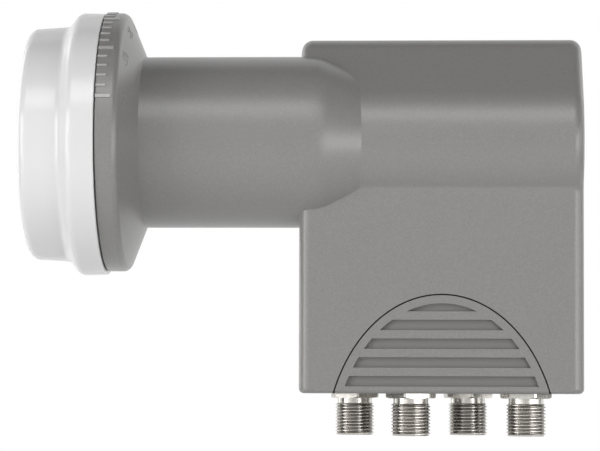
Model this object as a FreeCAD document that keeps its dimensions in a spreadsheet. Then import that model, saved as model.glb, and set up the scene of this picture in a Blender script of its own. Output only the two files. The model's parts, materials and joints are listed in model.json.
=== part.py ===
import FreeCAD, Part

import math
import os

import Sketcher
from FreeCAD import Placement, Rotation, Vector

# A low-noise block converter that hangs in a 40 mm class dish holder by its neck.
# The origin is on the axis of the neck, halfway along it. +X points away from the dish, from the white
# cap over the horn to the far end of the housing, -Y is the front and +Z is up. The outputs point down.
# Lengths are millimetres and angles are degrees.

SIZES = {
    # Neck and scale ring
    "neck_radius": 20.7,
    "neck_end": 18.95,
    "neck_wall": 1.8,
    "ring_radius": 31.3,
    "ring_front": 28.0,
    "ring_slope": 2.475,
    "ring_round": 1.7,
    "lip_radius": 26.3,
    "lip_depth": 1.8,
    "run_over_start": 23.5,
    "run_over_end": 33.35,
    "run_over_round": 12.0,
    # Scale marks on the ring
    "mark_step": 5.0,
    "mark_shift": 0.8,
    "mark_proud": 0.3,
    "mark_long": 3.6,
    "mark_short": 2.35,
    "mark_wide": 0.9,
    "mark_narrow": 0.6,
    # Housing
    "box_left": 18.7,
    "box_right": 86.4,
    "box_bottom": 60.6,
    "front_face": 11.9,
    "mid_plane": 3.4,
    "bump_radius": 16.8,
    "bump_angle": 40.0,
    "slope_angle": 42.1,
    "blend_radius": 2.2,
    "ridge_radius": 7.7,
    "rear_radius": 8.0,
    "edge_radius": 2.7,
    "foot_radius": 1.2,
    "wall": 1.5,
    # Arch grips of the weather guard
    "arch_middle": 52.67,
    "arch_half_width": 27.6,
    "arch_half_height": 37.2,
    "arch_centre": 74.3,
    "arch_gap": 0.34,
    "arch_rim": 2.1,
    "slot_top": 38.65,
    "slot_pitch": 4.45,
    "slot_height": 2.46,
    "slot_depth": 1.0,
    # Weather guard
    "guard_play": 0.15,
    "guard_wall": 1.25,
    "guard_top": 33.0,
    "guard_travel": 20.0,
    "peg_radius": 1.4,
    "peg_height": 57.0,
    "peg_side": 1.5,
    "peg_play": 0.2,
    # Cap over the horn
    "cap_front": 46.75,
    "cap_back": 28.3,
    "cap_drop": 0.45,
    "cap_front_radius": 27.9,
    "cap_neck_radius": 28.5,
    "cap_ring_radius": 31.8,
    "cap_wall": 1.7,
    "cap_round": 2.2,
    "cap_bore": 26.0,
    "ramp_start": 36.9,
    "ramp_end": 34.5,
    "ramp_round": 2.0,
    "cap_room": 29.7,
    "bead_radius": 29.0,
    # Horn and waveguide
    "horn_mouth": 43.9,
    "horn_radius": 25.4,
    "collar_front": 33.4,
    "collar_back": 30.0,
    "collar_radius": 29.4,
    "tube_radius": 12.5,
    "tube_end": 80.0,
    "guide_radius": 8.75,
    "guide_end": 70.0,
    "throat_step": 4.5,
    "groove_wall": 1.3,
    "groove_width": 2.1,
    "groove_depth": 5.5,
    "seal_side": 1.8,
    "seal_place": 40.0,
    # Die-cast circuit box
    "chassis_left": 22.2,
    "chassis_right": 83.0,
    "chassis_top": 12.8,
    "chassis_front": 8.2,
    "chassis_rim": 13.4,
    "chassis_back": 15.4,
    "rim_width": 3.8,
    "plate_top": 54.2,
    "cavity_bottom": 50.8,
    "cavity_top": 11.2,
    "deep_floor": 6.2,
    "deep_top": 14.5,
    "board_face": 9.8,
    "board_thickness": 1.0,
    "board_play": 0.2,
    "gasket_thickness": 0.5,
    # Outputs
    "port_first": 31.5,
    "port_pitch": 13.78,
    "port_front": 2.6,
    "port_rear": 9.4,
    "hex_face": 61.77,
    "hex_height": 3.2,
    "hex_flats": 11.0,
    "hex_corner_radius": 6.2,
    "collar_length": 1.23,
    "collar_small_radius": 4.17,
    "thread_radius": 4.7,
    "thread_end": 8.95,
    "thread_chamfer": 0.4,
    "port_bore": 2.8,
    "stub_radius": 3.4,
    "stub_end": 7.57,
    "port_seal_side": 1.2,
    "contact_radius": 0.95,
    "contact_hole": 0.5,
    "pin_radius": 0.4,
    # Circuit pieces
    "probe_radius": 0.5,
    "probe_hole": 1.2,
    "probe_across": 34.0,
    "probe_along": 46.0,
    "probe_depth": 3.0,
    "probe_height": 10.4,
    "probe_tip": 4.5,
    "polariser_place": 58.0,
    "polariser_radius": 1.0,
    "puck_radius": 2.75,
    "puck_height": 1.9,
    "puck_level": 30.0,
    "puck_left": 38.0,
    "puck_right": 66.0,
    "tuner_radius": 1.5,
    "tuner_tip": 13.1,
    "screw_radius": 1.0,
    "screw_head": 2.0,
    "screw_tip": 7.5,
    "cover_screw_high": 10.6,
    "cover_screw_low": 52.05,
    "board_screw_first": 31.0,
    "board_screw_pitch": 21.0,
    "board_screw_level": 12.4,
    "board_screw_depth": 4.0,
}

# The four outputs differ in how far their hexagon happened to be turned when it was tightened
HEX_TURNS = (8.4, -12.4, 9.5, 19.6)
SLOT_COUNT = 5
GROOVE_COUNT = 4
SCALE_LIMIT = 75
LONG_MARK_STEP = 25
SCREW_ROWS = 4
BOARD_SCREW_COUNT = 3
PORT_COUNT = 4
THROUGH = 10.0

doc = FreeCAD.newDocument("satellite_lnb")
sheet = doc.addObject("Spreadsheet::Sheet", "sheet")
for row, (alias, number) in enumerate(SIZES.items(), start=1):
    sheet.set(f"A{row}", alias)
    sheet.set(f"B{row}", str(number))
    sheet.setAlias(f"B{row}", alias)
doc.recompute()


class Size:
    """A number that follows from the sheet, with the formula that keeps a feature bound to it."""

    def __init__(self, number, formula):
        self.number = number
        self.formula = formula

    def joined(self, sign, other, number):
        return Size(number, f"({self.formula} {sign} {as_size(other).formula})")

    def __add__(self, other):
        return self.joined("+", other, self.number + as_size(other).number)

    def __sub__(self, other):
        return self.joined("-", other, self.number - as_size(other).number)

    def __mul__(self, other):
        return self.joined("*", other, self.number * as_size(other).number)

    def __truediv__(self, other):
        return self.joined("/", other, self.number / as_size(other).number)

    def __radd__(self, other):
        return as_size(other) + self

    def __rsub__(self, other):
        return as_size(other) - self

    def __rmul__(self, other):
        return as_size(other) * self

    def __neg__(self):
        return Size(-self.number, f"(0 - {self.formula})")


def as_size(value):
    return value if isinstance(value, Size) else Size(float(value), repr(float(value)))


def sine(angle):
    return Size(math.sin(math.radians(angle.number)), f"sin({angle.formula})")


def cosine(angle):
    return Size(math.cos(math.radians(angle.number)), f"cos({angle.formula})")


class Sheet:
    """Gives every cell of the sheet by its name."""

    def __getattr__(self, alias):
        return Size(SIZES[alias], f"sheet.{alias}")


S = Sheet()


def bind(thing, **settings):
    """Sets properties of a feature and ties each one to the sheet."""
    for name, value in settings.items():
        value = as_size(value)
        setattr(thing, name, value.number)
        thing.setExpression(name, value.formula)
    return thing


def place(thing, x=0, y=0, z=0, rotation=None):
    """Puts a feature at a point, tied to the sheet."""
    spot = [as_size(value) for value in (x, y, z)]
    thing.Placement = Placement(Vector(*(value.number for value in spot)), rotation or Rotation())
    for letter, value in zip("xyz", spot):
        thing.setExpression(f"Placement.Base.{letter}", value.formula)
    return thing


# Sketches: an outline is a list of corners, each with an optional rounding


def new_sketch(body, plane, name, lift=0):
    """A sketch on one of the body's own planes, moved along that plane's normal."""
    support = next(flat for flat in body.Origin.OriginFeatures if flat.Role == plane)
    sketch = body.newObject("Sketcher::SketchObject", name)
    sketch.AttachmentSupport = [(support, "")]
    sketch.MapMode = "FlatFace"
    lift = as_size(lift)
    sketch.AttachmentOffset = Placement(Vector(0, 0, lift.number), Rotation())
    sketch.setExpression("AttachmentOffset.Base.z", lift.formula)
    return sketch


class Corner:
    """One corner of an outline, and where its rounding starts and ends."""

    def __init__(self, x, y, radius=0):
        self.x = as_size(x)
        self.y = as_size(y)
        self.radius = as_size(radius)
        self.point = Vector(self.x.number, self.y.number, 0)
        self.start = self.point
        self.end = self.point
        self.middle = self.point

    @property
    def rounded(self):
        return self.radius.number > 0

    def round_between(self, before, after):
        back = (before.point - self.point).normalize()
        ahead = (after.point - self.point).normalize()
        half_angle = back.getAngle(ahead) / 2
        reach = self.radius.number / math.tan(half_angle)
        self.start = self.point + back * reach
        self.end = self.point + ahead * reach
        inward = (back + ahead).normalize()
        self.middle = self.point + inward * (self.radius.number / math.sin(half_angle) - self.radius.number)


def tie_point(sketch, geometry, position, x, y):
    """Fixes a point of a sketch at the distances that the sheet gives."""
    for kind, value in (("DistanceX", x), ("DistanceY", y)):
        rule = Sketcher.Constraint(kind, -1, 1, geometry, position, value.number)
        number = sketch.addConstraint(rule)
        sketch.setExpression(f"Constraints[{number}]", value.formula)


def draw_outline(sketch, corners, closed=True):
    """Draws straight lines through the corners, with a tangent arc at each rounded one."""
    corners = [Corner(*corner) for corner in corners]
    count = len(corners)
    for index, corner in enumerate(corners):
        if corner.rounded:
            corner.round_between(corners[index - 1], corners[(index + 1) % count])
    lines = []
    for index in range(count if closed else count - 1):
        following = corners[(index + 1) % count]
        lines.append(sketch.addGeometry(Part.LineSegment(corners[index].end, following.start)))
    for index, corner in enumerate(corners):
        before = lines[index - 1] if closed or index > 0 else None
        after = lines[index] if index < len(lines) else None
        if corner.rounded:
            join_rounded(sketch, corner, before, after)
            continue
        if before is not None and after is not None:
            sketch.addConstraint(Sketcher.Constraint("Coincident", before, 2, after, 1))
        if after is not None:
            tie_point(sketch, after, 1, corner.x, corner.y)
        else:
            tie_point(sketch, before, 2, corner.x, corner.y)


def join_rounded(sketch, corner, before, after):
    """Joins two lines by an arc that is tangent to both, and keeps their corner as a point."""
    arc = sketch.addGeometry(Part.Arc(corner.start, corner.middle, corner.end))
    starts_first = sketch.getPoint(arc, 1).distanceToPoint(corner.start) < 1e-6
    first, last = (1, 2) if starts_first else (2, 1)
    sketch.addConstraint(Sketcher.Constraint("Tangent", before, 2, arc, first))
    sketch.addConstraint(Sketcher.Constraint("Tangent", arc, last, after, 1))
    point = sketch.addGeometry(Part.Point(corner.point), True)
    sketch.addConstraint(Sketcher.Constraint("PointOnObject", point, 1, before))
    sketch.addConstraint(Sketcher.Constraint("PointOnObject", point, 1, after))
    tie_point(sketch, point, 1, corner.x, corner.y)
    number = sketch.addConstraint(Sketcher.Constraint("Radius", arc, corner.radius.number))
    sketch.setExpression(f"Constraints[{number}]", corner.radius.formula)


def draw_circle(sketch, x, y, radius):
    x, y, radius = as_size(x), as_size(y), as_size(radius)
    circle = sketch.addGeometry(Part.Circle(Vector(x.number, y.number, 0), Vector(0, 0, 1), radius.number))
    tie_point(sketch, circle, 3, x, y)
    number = sketch.addConstraint(Sketcher.Constraint("Radius", circle, radius.number))
    sketch.setExpression(f"Constraints[{number}]", radius.formula)


def rectangle(x_low, y_low, x_high, y_high, radius=0):
    return [
        (x_low, y_low, radius),
        (x_high, y_low, radius),
        (x_high, y_high, radius),
        (x_low, y_high, radius),
    ]


# Features of a body


def new_body(label):
    body = doc.addObject("PartDesign::Body", label)
    body.Label = label
    return body


def drawn(body, plane, name, corners, lift=0):
    sketch = new_sketch(body, plane, name + "_outline", lift)
    draw_outline(sketch, corners)
    return sketch


def pad(body, sketch, length, reversed_side=False):
    feature = body.newObject("PartDesign::Pad", sketch.Name + "_pad")
    feature.Profile = sketch
    feature.Reversed = reversed_side
    return bind(feature, Length=length)


def pocket(body, sketch, length, reversed_side=False):
    doc.recompute()
    full = body.Shape.Volume
    feature = body.newObject("PartDesign::Pocket", sketch.Name + "_pocket")
    feature.Profile = sketch
    feature.Reversed = reversed_side
    bind(feature, Length=length)
    doc.recompute()
    assert body.Shape.Volume < full, f"{feature.Name} cuts nothing"
    return feature


def turn(body, sketch, kind="Revolution", axis="H_Axis"):
    feature = body.newObject(f"PartDesign::{kind}", f"{sketch.Name}_{kind.lower()}")
    feature.Profile = sketch
    feature.ReferenceAxis = (sketch, [axis])
    feature.Angle = 360
    doc.recompute()
    return feature


def edges_where(feature, test):
    """Names of the feature's edges whose two ends and middle all pass a test."""
    names = []
    for number, edge in enumerate(feature.Shape.Edges, start=1):
        middle = edge.valueAt((edge.FirstParameter + edge.LastParameter) / 2)
        points = [vertex.Point for vertex in edge.Vertexes] + [middle]
        if all(test(point) for point in points):
            names.append(f"Edge{number}")
    return names


def fillet(body, feature, test, radius):
    doc.recompute()
    rounded = body.newObject("PartDesign::Fillet", feature.Name + "_fillet")
    rounded.Base = (feature, edges_where(feature, test))
    bind(rounded, Radius=radius)
    doc.recompute()
    return rounded


def near(value, goal):
    return abs(value - goal.number) < 1e-4


# Solids joined and cut outside a body


def box(name, x_span, y_span, z_span):
    block = doc.addObject("Part::Box", name)
    spans = [(as_size(low), as_size(high)) for low, high in (x_span, y_span, z_span)]
    bind(block, Length=spans[0][1] - spans[0][0], Width=spans[1][1] - spans[1][0])
    bind(block, Height=spans[2][1] - spans[2][0])
    return place(block, *(low for low, high in spans))


def along_y():
    return Rotation(Vector(1, 0, 0), -90)


def along_x():
    return Rotation(Vector(0, 1, 0), 90)


def cylinder(name, radius, length, x, y, z, rotation=None):
    rod = doc.addObject("Part::Cylinder", name)
    bind(rod, Radius=radius, Height=length)
    return place(rod, x, y, z, rotation)


def fused(name, *shapes):
    joined = doc.addObject("Part::MultiFuse", name)
    joined.Shapes = list(shapes)
    joined.Refine = True
    return joined


def cut(name, base, tool):
    left = doc.addObject("Part::Cut", name)
    left.Base = base
    left.Tool = tool
    left.Refine = True
    return left


def common(name, first, second):
    shared = doc.addObject("Part::Common", name)
    shared.Base = first
    shared.Tool = second
    shared.Refine = True
    return shared


# The housing's form, used for its outside and, taken in by the wall, for its inside


def housing_block(name, inset, bottom, foot=False):
    """The housing as one block: a flat front, a round bump along the neck's axis and a roof with a ridge."""
    a = S.slope_angle
    b = S.bump_angle
    front = S.front_face - inset
    bump = S.bump_radius - inset
    half = (a + b) / 2
    reach = bump / cosine(half)
    lean = (a - b) / 2
    blend_height = (bump - front * cosine(b)) / sine(b)
    ridge_height = (bump + S.mid_plane * cosine(a)) / sine(a)
    rear = 2 * S.mid_plane + front
    rear_height = (bump - front * cosine(a)) / sine(a)
    corners = [
        (-front, -bottom),
        (-front, -blend_height, S.blend_radius + inset),
        (-(reach * cosine(lean)), reach * sine(lean), bump),
        (S.mid_plane, ridge_height, S.ridge_radius - inset),
        (rear, rear_height, S.rear_radius - inset),
        (rear, -bottom),
    ]
    body = new_body(name)
    left = S.box_left + inset
    right = S.box_right - inset
    section = drawn(body, "YZ_Plane", name, corners, left)
    block = pad(body, section, right - left)
    low = -as_size(bottom).number

    def on_end(point):
        return near(point.x, left) or near(point.x, right)

    def on_rim(point):
        return abs(point.z - low) < 1e-4

    sides = fillet(body, block, lambda p: on_end(p) and p.z > low - 1e-4, S.edge_radius - inset)
    if foot:
        fillet(body, sides, on_rim, S.foot_radius)
    return body


def neck_form():
    """Scale ring, neck and the cone in which the neck runs down onto the round bump of the housing."""
    body = new_body("neck_form")
    corner = S.neck_end + (S.ring_radius - S.neck_radius) / S.ring_slope
    run = S.run_over_end - S.run_over_start
    drop = S.neck_radius - S.bump_radius
    sunk = drop / 2
    profile = [
        (-S.ring_front, 0),
        (-S.ring_front, S.ring_radius),
        (-corner, S.ring_radius, S.ring_round),
        (-S.neck_end, S.neck_radius),
        (S.run_over_start, S.neck_radius, S.run_over_round),
        (S.run_over_end + run * sunk / drop, S.bump_radius - sunk),
        (S.run_over_end + run * sunk / drop, 0),
    ]
    turn(body, drawn(body, "XZ_Plane", "neck_form", profile))
    return body


def neck_hollow():
    """The room inside ring and neck, with a lip that grips the horn and a rib that centres the waveguide."""
    body = new_body("neck_hollow")
    bore = S.neck_radius - S.neck_wall
    rim_bore = S.ring_radius - S.neck_wall
    lip_back = S.ring_front - S.lip_depth
    cone_start = S.neck_end + (S.ring_radius - S.neck_radius) / S.ring_slope + S.neck_wall / 2
    cone_end = cone_start - (rim_bore - bore) / S.ring_slope
    rib = S.neck_wall / 2
    profile = [
        (-S.ring_front - THROUGH, 0),
        (-S.ring_front - THROUGH, S.lip_radius),
        (-lip_back, S.lip_radius),
        (-lip_back, rim_bore),
        (-cone_start, rim_bore),
        (-cone_end, bore),
        (-rib, bore),
        (-rib, S.tube_radius),
        (rib, S.tube_radius),
        (rib, bore),
        (S.run_over_start, bore),
        (S.run_over_end, S.bump_radius - S.neck_wall),
        (S.run_over_end, 0),
    ]
    turn(body, drawn(body, "XZ_Plane", "neck_hollow", profile))
    return body


def arch(name, shrink, y_low, y_high):
    """A block with the outline of the grip, which is the top of a tall ellipse."""
    ellipse = doc.addObject("Part::Ellipse", name + "_ellipse")
    upright = Rotation(Vector(0, 1, 0), -90) * Rotation(Vector(1, 0, 0), 90)
    bind(ellipse, MajorRadius=S.arch_half_height - shrink, MinorRadius=S.arch_half_width - shrink)
    place(ellipse, S.arch_middle, y_low, -S.arch_centre, upright)
    block = doc.addObject("Part::Extrusion", name)
    block.Base = ellipse
    block.DirMode = "Custom"
    block.Dir = Vector(0, 1, 0)
    block.Solid = True
    return bind(block, LengthFwd=as_size(y_high) - y_low)


def grip_slots(name, y_low, y_high):
    """The slots between the ribs of a grip, whose ends follow the arch."""
    bars = []
    for index in range(SLOT_COUNT):
        top = -S.slot_top - S.slot_pitch * index
        x_span = (S.arch_middle - S.arch_half_width, S.arch_middle + S.arch_half_width)
        bars.append(box(f"{name}_bar_{index + 1}", x_span, (y_low, y_high), (top - S.slot_height, top)))
    inner = arch(name + "_inner", S.arch_rim, y_low, y_high)
    return common(name, fused(name + "_bars", *bars), inner)


def scale_marks():
    """Raised lines across the ring's rim, every five degrees, with a longer one at each twenty-five."""
    marks = []
    count = int(SCALE_LIMIT / SIZES["mark_step"])
    for index in range(-count, count + 1):
        long_mark = (index * SIZES["mark_step"]) % LONG_MARK_STEP == 0
        length = S.mark_long if long_mark else S.mark_short
        width = S.mark_wide if long_mark else S.mark_narrow
        mark = doc.addObject("Part::Box", "scale_mark")
        bind(mark, Length=length, Width=width, Height=1 + S.mark_proud)
        angle = index * S.mark_step - S.mark_shift
        radius = S.ring_radius - 1
        spin = Rotation(Vector(1, 0, 0), angle.number)
        place(mark, -S.ring_front, -(radius * sine(angle)) - width / 2 * cosine(angle),
              radius * cosine(angle) - width / 2 * sine(angle), spin)
        marks.append(mark)
    return fused("scale_marks", *marks)


def make_shells():
    """Both halves of the housing, parted down the middle of the neck and of the box."""
    outside = housing_block("housing_outside", as_size(0), S.box_bottom, foot=True)
    inside = housing_block("housing_inside", S.wall, S.box_bottom + THROUGH)
    opening = S.arch_gap / -2
    rear_face = 2 * S.mid_plane + S.front_face
    front_arch = arch("front_arch_opening", opening, -S.front_face - THROUGH, -S.front_face + S.wall * 2)
    rear_arch = arch("rear_arch_opening", opening, rear_face - S.wall * 2, rear_face + THROUGH)
    room = fused("housing_room", inside, neck_hollow(), front_arch, rear_arch)
    skin = cut("housing_skin", fused("housing_form", outside, neck_form(), scale_marks()), room)
    ends = (-S.ring_front - THROUGH, S.box_left)
    box_ends = (S.box_left, S.box_right + THROUGH)
    heights = (-S.box_bottom - THROUGH, S.ring_radius + THROUGH)
    far_front = -S.ring_radius - THROUGH
    front_zone = fused(
        "front_zone",
        box("front_zone_neck", ends, (far_front, 0), heights),
        box("front_zone_box", box_ends, (far_front, S.mid_plane), heights),
    )
    front_half = common("front_half", skin, front_zone)
    rear_half = cut("rear_half", skin, front_zone)
    inner_left = S.box_left + S.wall
    inner_right = S.box_right - S.wall
    reach = S.guard_play + S.guard_wall - S.peg_play
    pegs = [
        cylinder("peg_left", S.peg_radius, reach + S.wall / 2, inner_left - S.wall / 2, -S.peg_side,
                 -S.peg_height, along_x()),
        cylinder("peg_right", S.peg_radius, reach + S.wall / 2, inner_right - reach, -S.peg_side,
                 -S.peg_height, along_x()),
    ]
    rib_x = (S.chassis_left + THROUGH, S.chassis_right - THROUGH)
    rib_z = (-S.guard_top + S.wall, -S.guard_top + 2 * S.wall)
    front_rib = box("front_rib", rib_x, (-S.front_face + S.wall / 2, -S.chassis_front), rib_z)
    rear_rib = box("rear_rib", rib_x, (S.chassis_back, rear_face - S.wall / 2), rib_z)
    return {
        "front_shell": fused("front_shell", front_half, front_rib, *pegs),
        "rear_shell": fused("rear_shell", rear_half, rear_rib),
        "outside": outside,
    }


def make_guard(outside):
    """A rectangular skirt inside the housing's foot, with a ribbed arch grip flush in the front and back."""
    inset = S.wall + S.guard_play
    rear_face = 2 * S.mid_plane + S.front_face
    low = (S.box_left + inset, -S.front_face + inset)
    high = (S.box_right - inset, rear_face - inset)
    body = new_body("guard_sleeve")
    rounding = S.edge_radius - inset
    walls = drawn(body, "XY_Plane", "guard_sleeve", rectangle(*low, *high, rounding), -S.box_bottom)
    pad(body, walls, S.box_bottom - S.guard_top)
    inner = rectangle(*(value + S.guard_wall for value in low), *(value - S.guard_wall for value in high))
    pocket(body, drawn(body, "XY_Plane", "guard_room", inner, -S.guard_top), S.box_bottom)
    half = S.peg_radius + S.peg_play
    run = rectangle(-S.peg_side - half, -S.peg_height - half, -S.peg_side + half,
                    -S.peg_height + half + S.guard_travel, half - 0.02)
    run_sketch = drawn(body, "YZ_Plane", "guard_run", run, S.box_right + THROUGH)
    pocket(body, run_sketch, S.box_right + THROUGH)
    play = S.arch_gap / 2
    front_block = arch("front_grip_block", play, -S.front_face - THROUGH, low[1])
    rear_block = arch("rear_grip_block", play, high[1], rear_face + THROUGH)
    front_grip = common("front_grip", front_block, outside)
    rear_grip = common("rear_grip", rear_block, outside)
    front_slots = grip_slots("front_slots", -S.front_face - THROUGH, -S.front_face + S.slot_depth)
    rear_slots = grip_slots("rear_slots", rear_face - S.slot_depth, rear_face + THROUGH)
    plain = fused("guard_plain", body, front_grip, rear_grip)
    return cut("weather_guard", plain, fused("guard_slots", front_slots, rear_slots))


# Cap, horn and seal


def make_cap():
    """A snap-on cup that keeps rain out of the horn, with walls that are thicker below than above."""
    form = new_body("cap_form")
    profile = [
        (-S.cap_front, 0),
        (-S.cap_front, S.cap_front_radius, S.cap_round),
        (-S.ramp_start, S.cap_neck_radius, S.ramp_round),
        (-S.ramp_end, S.cap_ring_radius, S.ramp_round),
        (-S.cap_back, S.cap_ring_radius - 0.1),
        (-S.cap_back, 0),
    ]
    turn(form, drawn(form, "XZ_Plane", "cap_form", profile))
    place(form, 0, 0, -S.cap_drop)
    room = new_body("cap_room")
    bead_front = S.collar_back - 0.1
    inner = [
        (-S.cap_back + THROUGH, 0),
        (-S.cap_back + THROUGH, S.bead_radius),
        (-bead_front, S.bead_radius),
        (-bead_front, S.cap_room),
        (-S.collar_front - 0.2, S.cap_room),
        (-S.ramp_start + 0.8, S.cap_bore),
        (-S.cap_front + S.cap_wall, S.cap_bore),
        (-S.cap_front + S.cap_wall, 0),
    ]
    turn(room, drawn(room, "XZ_Plane", "cap_room", inner))
    return cut("feed_cap", form, room)


def make_seal():
    """A square-cut rubber ring in the groove round the horn's mouth."""
    body = new_body("cap_seal")
    half = S.seal_side / 2
    ring = rectangle(-S.seal_place - half, S.cap_bore - S.seal_side, -S.seal_place + half, S.cap_bore)
    turn(body, drawn(body, "XZ_Plane", "cap_seal", ring))
    return body


def horn_room():
    """The bore of the waveguide and the ringed grooves of the horn, as one profile to turn out."""
    steps = [(S.guide_end, 0), (S.guide_end, S.guide_radius)]
    radius = S.guide_radius + S.groove_wall
    lip = S.horn_mouth - S.throat_step * (GROOVE_COUNT + 0.4)
    steps.append((-lip, S.guide_radius))
    for index in range(GROOVE_COUNT):
        floor = lip - S.groove_depth
        steps.append((-lip, radius))
        steps.append((-floor, radius))
        steps.append((-floor, radius + S.groove_width))
        radius = radius + S.groove_width + S.groove_wall
        lip = lip + S.throat_step
        steps.append((-lip, radius - S.groove_wall))
    steps.pop()
    steps.append((-S.horn_mouth - THROUGH, radius - S.groove_wall))
    steps.append((-S.horn_mouth - THROUGH, 0))
    return steps


def make_chassis():
    """One casting: horn, waveguide tube and the circuit box that hangs from it."""
    body = new_body("chassis")
    lip_back = S.ring_front - S.lip_depth
    seal_half = S.seal_side / 2 + 0.2
    seal_floor = S.cap_bore - S.seal_side
    profile = [
        (-S.horn_mouth, 0),
        (-S.horn_mouth, S.horn_radius),
        (-S.seal_place - seal_half, S.horn_radius),
        (-S.seal_place - seal_half, seal_floor),
        (-S.seal_place + seal_half, seal_floor),
        (-S.seal_place + seal_half, S.horn_radius),
        (-S.collar_front, S.horn_radius),
        (-S.collar_front, S.collar_radius),
        (-S.collar_back, S.collar_radius),
        (-S.collar_back, S.bead_radius - 0.4),
        (-S.ring_front, S.bead_radius - 0.4),
        (-S.ring_front, S.lip_radius),
        (-lip_back, S.lip_radius),
        (-lip_back, S.lip_radius + 1.2),
        (-lip_back + 1.4, S.lip_radius),
        (-S.neck_end + 1, S.tube_radius),
        (S.tube_end, S.tube_radius),
        (S.tube_end, 0),
    ]
    turn(body, drawn(body, "XZ_Plane", "chassis_horn", profile))
    bottom = -S.hex_face + S.hex_height
    sides = (S.chassis_left, S.chassis_right)
    block = rectangle(sides[0], bottom, sides[1], S.chassis_top, 1.5)
    pad(body, drawn(body, "XZ_Plane", "chassis_box", block, -S.chassis_rim), S.chassis_rim + S.chassis_front)
    plate = rectangle(sides[0], bottom, sides[1], -S.plate_top)
    pad(body, drawn(body, "XZ_Plane", "chassis_plate", plate, -S.chassis_back),
        S.chassis_back - S.board_face)
    inner = (sides[0] + S.rim_width, sides[1] - S.rim_width)
    shallow = rectangle(inner[0], -S.cavity_bottom, inner[1], S.cavity_top, 1.5)
    pocket(body, drawn(body, "XZ_Plane", "chassis_shallow", shallow, -S.chassis_rim),
           S.chassis_rim - S.board_face, reversed_side=True)
    deep = rectangle(inner[0] + 2, -S.cavity_bottom, inner[1] - 2, -S.deep_top, 1.5)
    pocket(body, drawn(body, "XZ_Plane", "chassis_deep", deep, -S.board_face),
           S.board_face + S.deep_floor, reversed_side=True)
    turn(body, drawn(body, "XZ_Plane", "horn_room", horn_room()), "Groove")
    port_holes = new_sketch(body, "XY_Plane", "port_holes", bottom)
    seal_seats = new_sketch(body, "XY_Plane", "seal_seats", bottom)
    pin_holes = new_sketch(body, "XY_Plane", "pin_holes", bottom)
    for x, y in PORT_PLACES:
        draw_circle(port_holes, x, y, S.stub_radius)
        draw_circle(seal_seats, x, y, S.stub_radius + S.port_seal_side)
        draw_circle(pin_holes, x, y, S.pin_radius * 3)
    wall_depth = S.stub_end - S.hex_height
    pocket(body, port_holes, wall_depth, reversed_side=True)
    pocket(body, seal_seats, S.port_seal_side, reversed_side=True)
    pocket(body, pin_holes, S.hex_face - S.hex_height - S.cavity_bottom + 1, reversed_side=True)
    probe_holes = new_sketch(body, "XZ_Plane", "probe_holes", -S.board_face)
    draw_circle(probe_holes, S.probe_across, 0, S.probe_hole)
    draw_circle(probe_holes, S.probe_along, S.probe_height, S.probe_hole)
    pocket(body, probe_holes, S.board_face, reversed_side=True)
    side_hole = new_sketch(body, "XY_Plane", "side_probe_hole", S.probe_height)
    draw_circle(side_hole, S.probe_along, 0, S.probe_hole)
    pocket(body, side_hole, S.probe_height - S.probe_tip)
    pin_seat = new_sketch(body, "XZ_Plane", "polariser_seat", -S.board_face)
    draw_circle(pin_seat, S.polariser_place, 0, S.polariser_radius)
    pocket(body, pin_seat, S.board_face, reversed_side=True)
    screw_holes = new_sketch(body, "XZ_Plane", "cover_screw_holes", -S.chassis_rim)
    for x, z in COVER_SCREW_PLACES:
        draw_circle(screw_holes, x, z, S.screw_radius)
    pocket(body, screw_holes, S.chassis_rim - S.screw_tip, reversed_side=True)
    board_holes = new_sketch(body, "XZ_Plane", "board_screw_holes", -S.board_face)
    for x, z in BOARD_SCREW_PLACES:
        draw_circle(board_holes, x, z, S.screw_radius)
    pocket(body, board_holes, S.board_screw_depth, reversed_side=True)
    return body


# Lid, seal and circuit


def make_cover():
    body = new_body("chassis_cover")
    sheet_low = S.chassis_rim + S.gasket_thickness
    outline = rectangle(S.chassis_left, -S.plate_top + 0.1, S.chassis_right, S.chassis_top, 1.5)
    pad(body, drawn(body, "XZ_Plane", "cover", outline, -S.chassis_back), S.chassis_back - sheet_low)
    holes = new_sketch(body, "XZ_Plane", "cover_holes", -S.chassis_back)
    for x, z in COVER_SCREW_PLACES:
        draw_circle(holes, x, z, S.screw_radius)
    for x in (S.puck_left, S.puck_right):
        draw_circle(holes, x, -S.puck_level, S.tuner_radius)
    pocket(body, holes, S.chassis_back - sheet_low, reversed_side=True)
    return cut("chassis_cover", body, fused("cover_sinks", *countersinks("cover_sink")))


def countersinks(name):
    """The cones of all cover screws, as holes in the cover and as the heads that sit in them."""
    cones = []
    for index, (x, z) in enumerate(COVER_SCREW_PLACES, start=1):
        cone = doc.addObject("Part::Cone", f"{name}_{index}")
        bind(cone, Radius1=S.screw_radius, Radius2=S.screw_head, Height=S.screw_head - S.screw_radius)
        cones.append(place(cone, x, S.chassis_back - S.screw_head + S.screw_radius, z, along_y()))
    return cones


def make_gasket():
    body = new_body("cover_gasket")
    outline = rectangle(S.chassis_left, -S.plate_top + 0.1, S.chassis_right, S.chassis_top, 1.5)
    top = -S.chassis_rim - S.gasket_thickness
    pad(body, drawn(body, "XZ_Plane", "gasket", outline, top), S.gasket_thickness)
    window = rectangle(S.chassis_left + S.rim_width, -S.cavity_bottom, S.chassis_right - S.rim_width,
                       S.cavity_top, 1.5)
    pocket(body, drawn(body, "XZ_Plane", "gasket_window", window, top), S.gasket_thickness,
           reversed_side=True)
    holes = new_sketch(body, "XZ_Plane", "gasket_holes", top)
    for x, z in COVER_SCREW_PLACES:
        draw_circle(holes, x, z, S.screw_radius)
    pocket(body, holes, S.gasket_thickness, reversed_side=True)
    return body


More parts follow.
